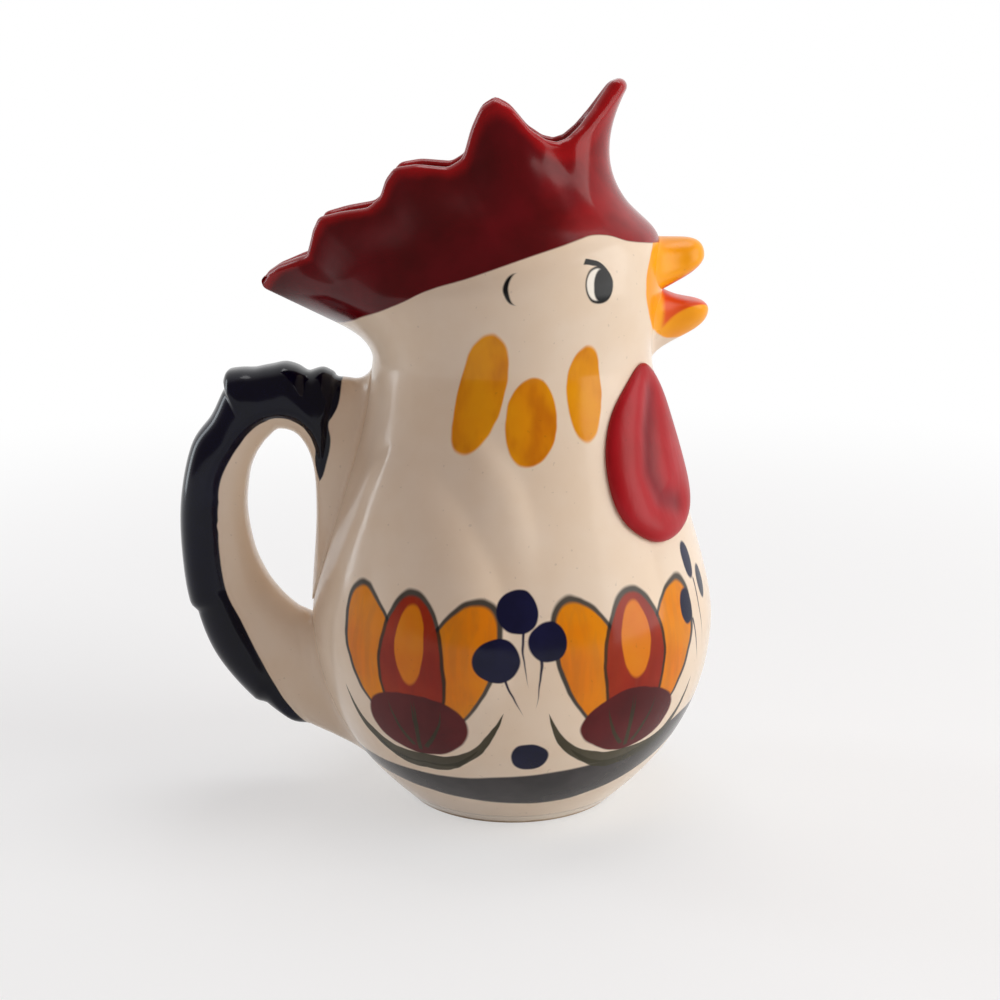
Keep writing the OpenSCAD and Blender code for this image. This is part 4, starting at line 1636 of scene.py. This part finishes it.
@dataclass
class Studio:
    """Pale floor, soft lamps and the camera at the photograph's angle."""

    camera_place: tuple[float, float, float] = (-0.003464, -0.485148, 0.207461)
    target: tuple[float, float, float] = (-0.003464, 0.0, 0.0865)
    lens: float = 62.35
    sensor_w: float = 36.0
    sky_level: float = 0.28
    room_level: float = 0.18
    sky_tint: Colour = (1.12, 0.92, 0.86, 1)
    floor_colour: Colour = (0.87, 0.9, 0.92, 1)
    floor_half: float = 4.0
    shadow_reach: Pair = (0.16, 0.62)
    aim: tuple[float, float, float] = (0.0, 0.0, 0.1)
    lamps: tuple[Lamp, ...] = (
        Lamp("window_right", (1.0, -0.28, 0.5), (0.8, 1.2), 9.8, (1.0, 0.98, 0.95)),
        Lamp("window_left", (-0.8, 0.3, 0.3), (0.22, 0.75), 2.2, (0.86, 0.94, 1.0)),
        Lamp("overhead", (0.1, 0.25, 0.9), (0.6, 0.4), 2.6))

    def light(self, lamp: Lamp) -> None:
        """Puts up a lamp and aims it at the pitcher's middle.

        Args:
            lamp: The lamp.
        """
        data = bpy.data.lights.new(lamp.name, "AREA")
        data.shape = "RECTANGLE"
        data.size, data.size_y = lamp.size
        data.energy = lamp.power
        data.color = lamp.colour
        light = bpy.data.objects.new(lamp.name, data)
        light.location = lamp.place
        way = Vector(self.aim) - Vector(lamp.place)
        light.rotation_euler = way.to_track_quat("-Z", "Y").to_euler()
        bpy.context.scene.collection.objects.link(light)

    def floor(self) -> None:
        """Lays a pale floor that keeps the pitcher's soft shadow."""
        bm = bmesh.new()
        bmesh.ops.create_grid(bm, x_segments=1, y_segments=1, size=self.floor_half)
        mesh = bpy.data.meshes.new("floor")
        bm.to_mesh(mesh)
        bm.free()
        floor = bpy.data.objects.new("floor", mesh)
        bpy.context.scene.collection.objects.link(floor)
        g = Graph("pale_floor")
        matt = g.add("BsdfDiffuse", {"Color": self.floor_colour})
        glow = g.add("Emission", {"Color": (1, 1, 1, 1), "Strength": 1.0})
        path = g.add("LightPath").outputs
        seen = g.upper(path["Is Camera Ray"], path["Is Glossy Ray"], path["Is Transmission Ray"])
        reach = g.vector("LENGTH", g.add("TexCoord").outputs["Object"])
        share = g.times(seen, g.step(reach, *self.shadow_reach, 0.5, 1.0))
        surface = g.add("MixShader", {0: share, 1: matt.outputs[0], 2: glow.outputs[0]})
        g.add("OutputMaterial", {0: surface.outputs[0]})
        mesh.materials.append(g.material)

    def sky(self) -> None:
        """Plain surroundings: white where seen, a pale backdrop behind and a dimmer room in front."""
        world = bpy.data.worlds.new("studio")
        bpy.context.scene.world = world
        g = Graph("studio", world)
        path = g.add("LightPath").outputs
        way = g.add("SeparateXYZ", {0: g.add("TexCoord").outputs["Generated"]}).outputs
        behind = g.step(way[1], -0.3, 0.4, self.room_level, 1.0)
        mirrored = g.times(g.upper(path["Is Glossy Ray"], path["Is Transmission Ray"]), behind)
        seen = g.upper(path["Is Camera Ray"], mirrored)
        level = g.upper(seen, self.sky_level)
        tint = g.blend(seen, self.sky_tint, (1, 1, 1, 1))
        g.add("OutputWorld", {0: g.add("Background", {0: tint, 1: level}).outputs[0]})

    def camera(self) -> None:
        """Sets the camera where the photograph was taken from."""
        data = bpy.data.cameras.new("camera")
        data.lens = self.lens
        data.sensor_width = self.sensor_w
        camera = bpy.data.objects.new("camera", data)
        camera.location = self.camera_place
        way = Vector(self.target) - Vector(self.camera_place)
        camera.rotation_euler = way.to_track_quat("-Z", "Y").to_euler()
        bpy.context.scene.collection.objects.link(camera)
        bpy.context.scene.camera = camera

    def build(self) -> None:
        """Sets up the whole studio."""
        self.camera()
        self.floor()
        self.sky()
        for lamp in self.lamps:
            self.light(lamp)
        bpy.context.scene.view_settings.view_transform = "Standard"


def main() -> None:
    """Builds the pitcher piece by piece, dresses it and sets up the studio."""
    logging.basicConfig(level=logging.INFO, format="%(name)s %(message)s")
    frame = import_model()
    Studio().build()
    body = GlazedBody().build()
    body.data.materials.append(BodyPaint().dress())
    loop = HandleLoop()
    loop.build().data.materials.append(HandlePaint(loop).dress())
    upper = BeakHalf(Half.UPPER, tip=(53.4, 157.2), low=147.8, high=162.0, low_rise=6.3, low_bow=1.0,
                     high_drop=0.0, half_w=11.5, scoop=0.0, taper=0.25)
    lower = BeakHalf(Half.LOWER, tip=(55.0, 141.6), low=127.8, high=147.8, low_rise=9.6, low_bow=0.6,
                     high_drop=2.25, half_w=10.7, scoop=1.35, taper=0.6)
    for half in (upper, lower):
        half.build().data.materials.append(BeakPaint(half.half).dress())
    for name, side in (("wattle_left", 1), ("wattle_right", -1)):
        Wattle(name, side).build().data.materials.append(WattlePaint(name).dress())
    foot = frame["nodes"]["foot_ring"]
    foot.data.materials.clear()
    foot.data.materials.append(FootClay().dress())


if __name__ == "__main__":
    main()
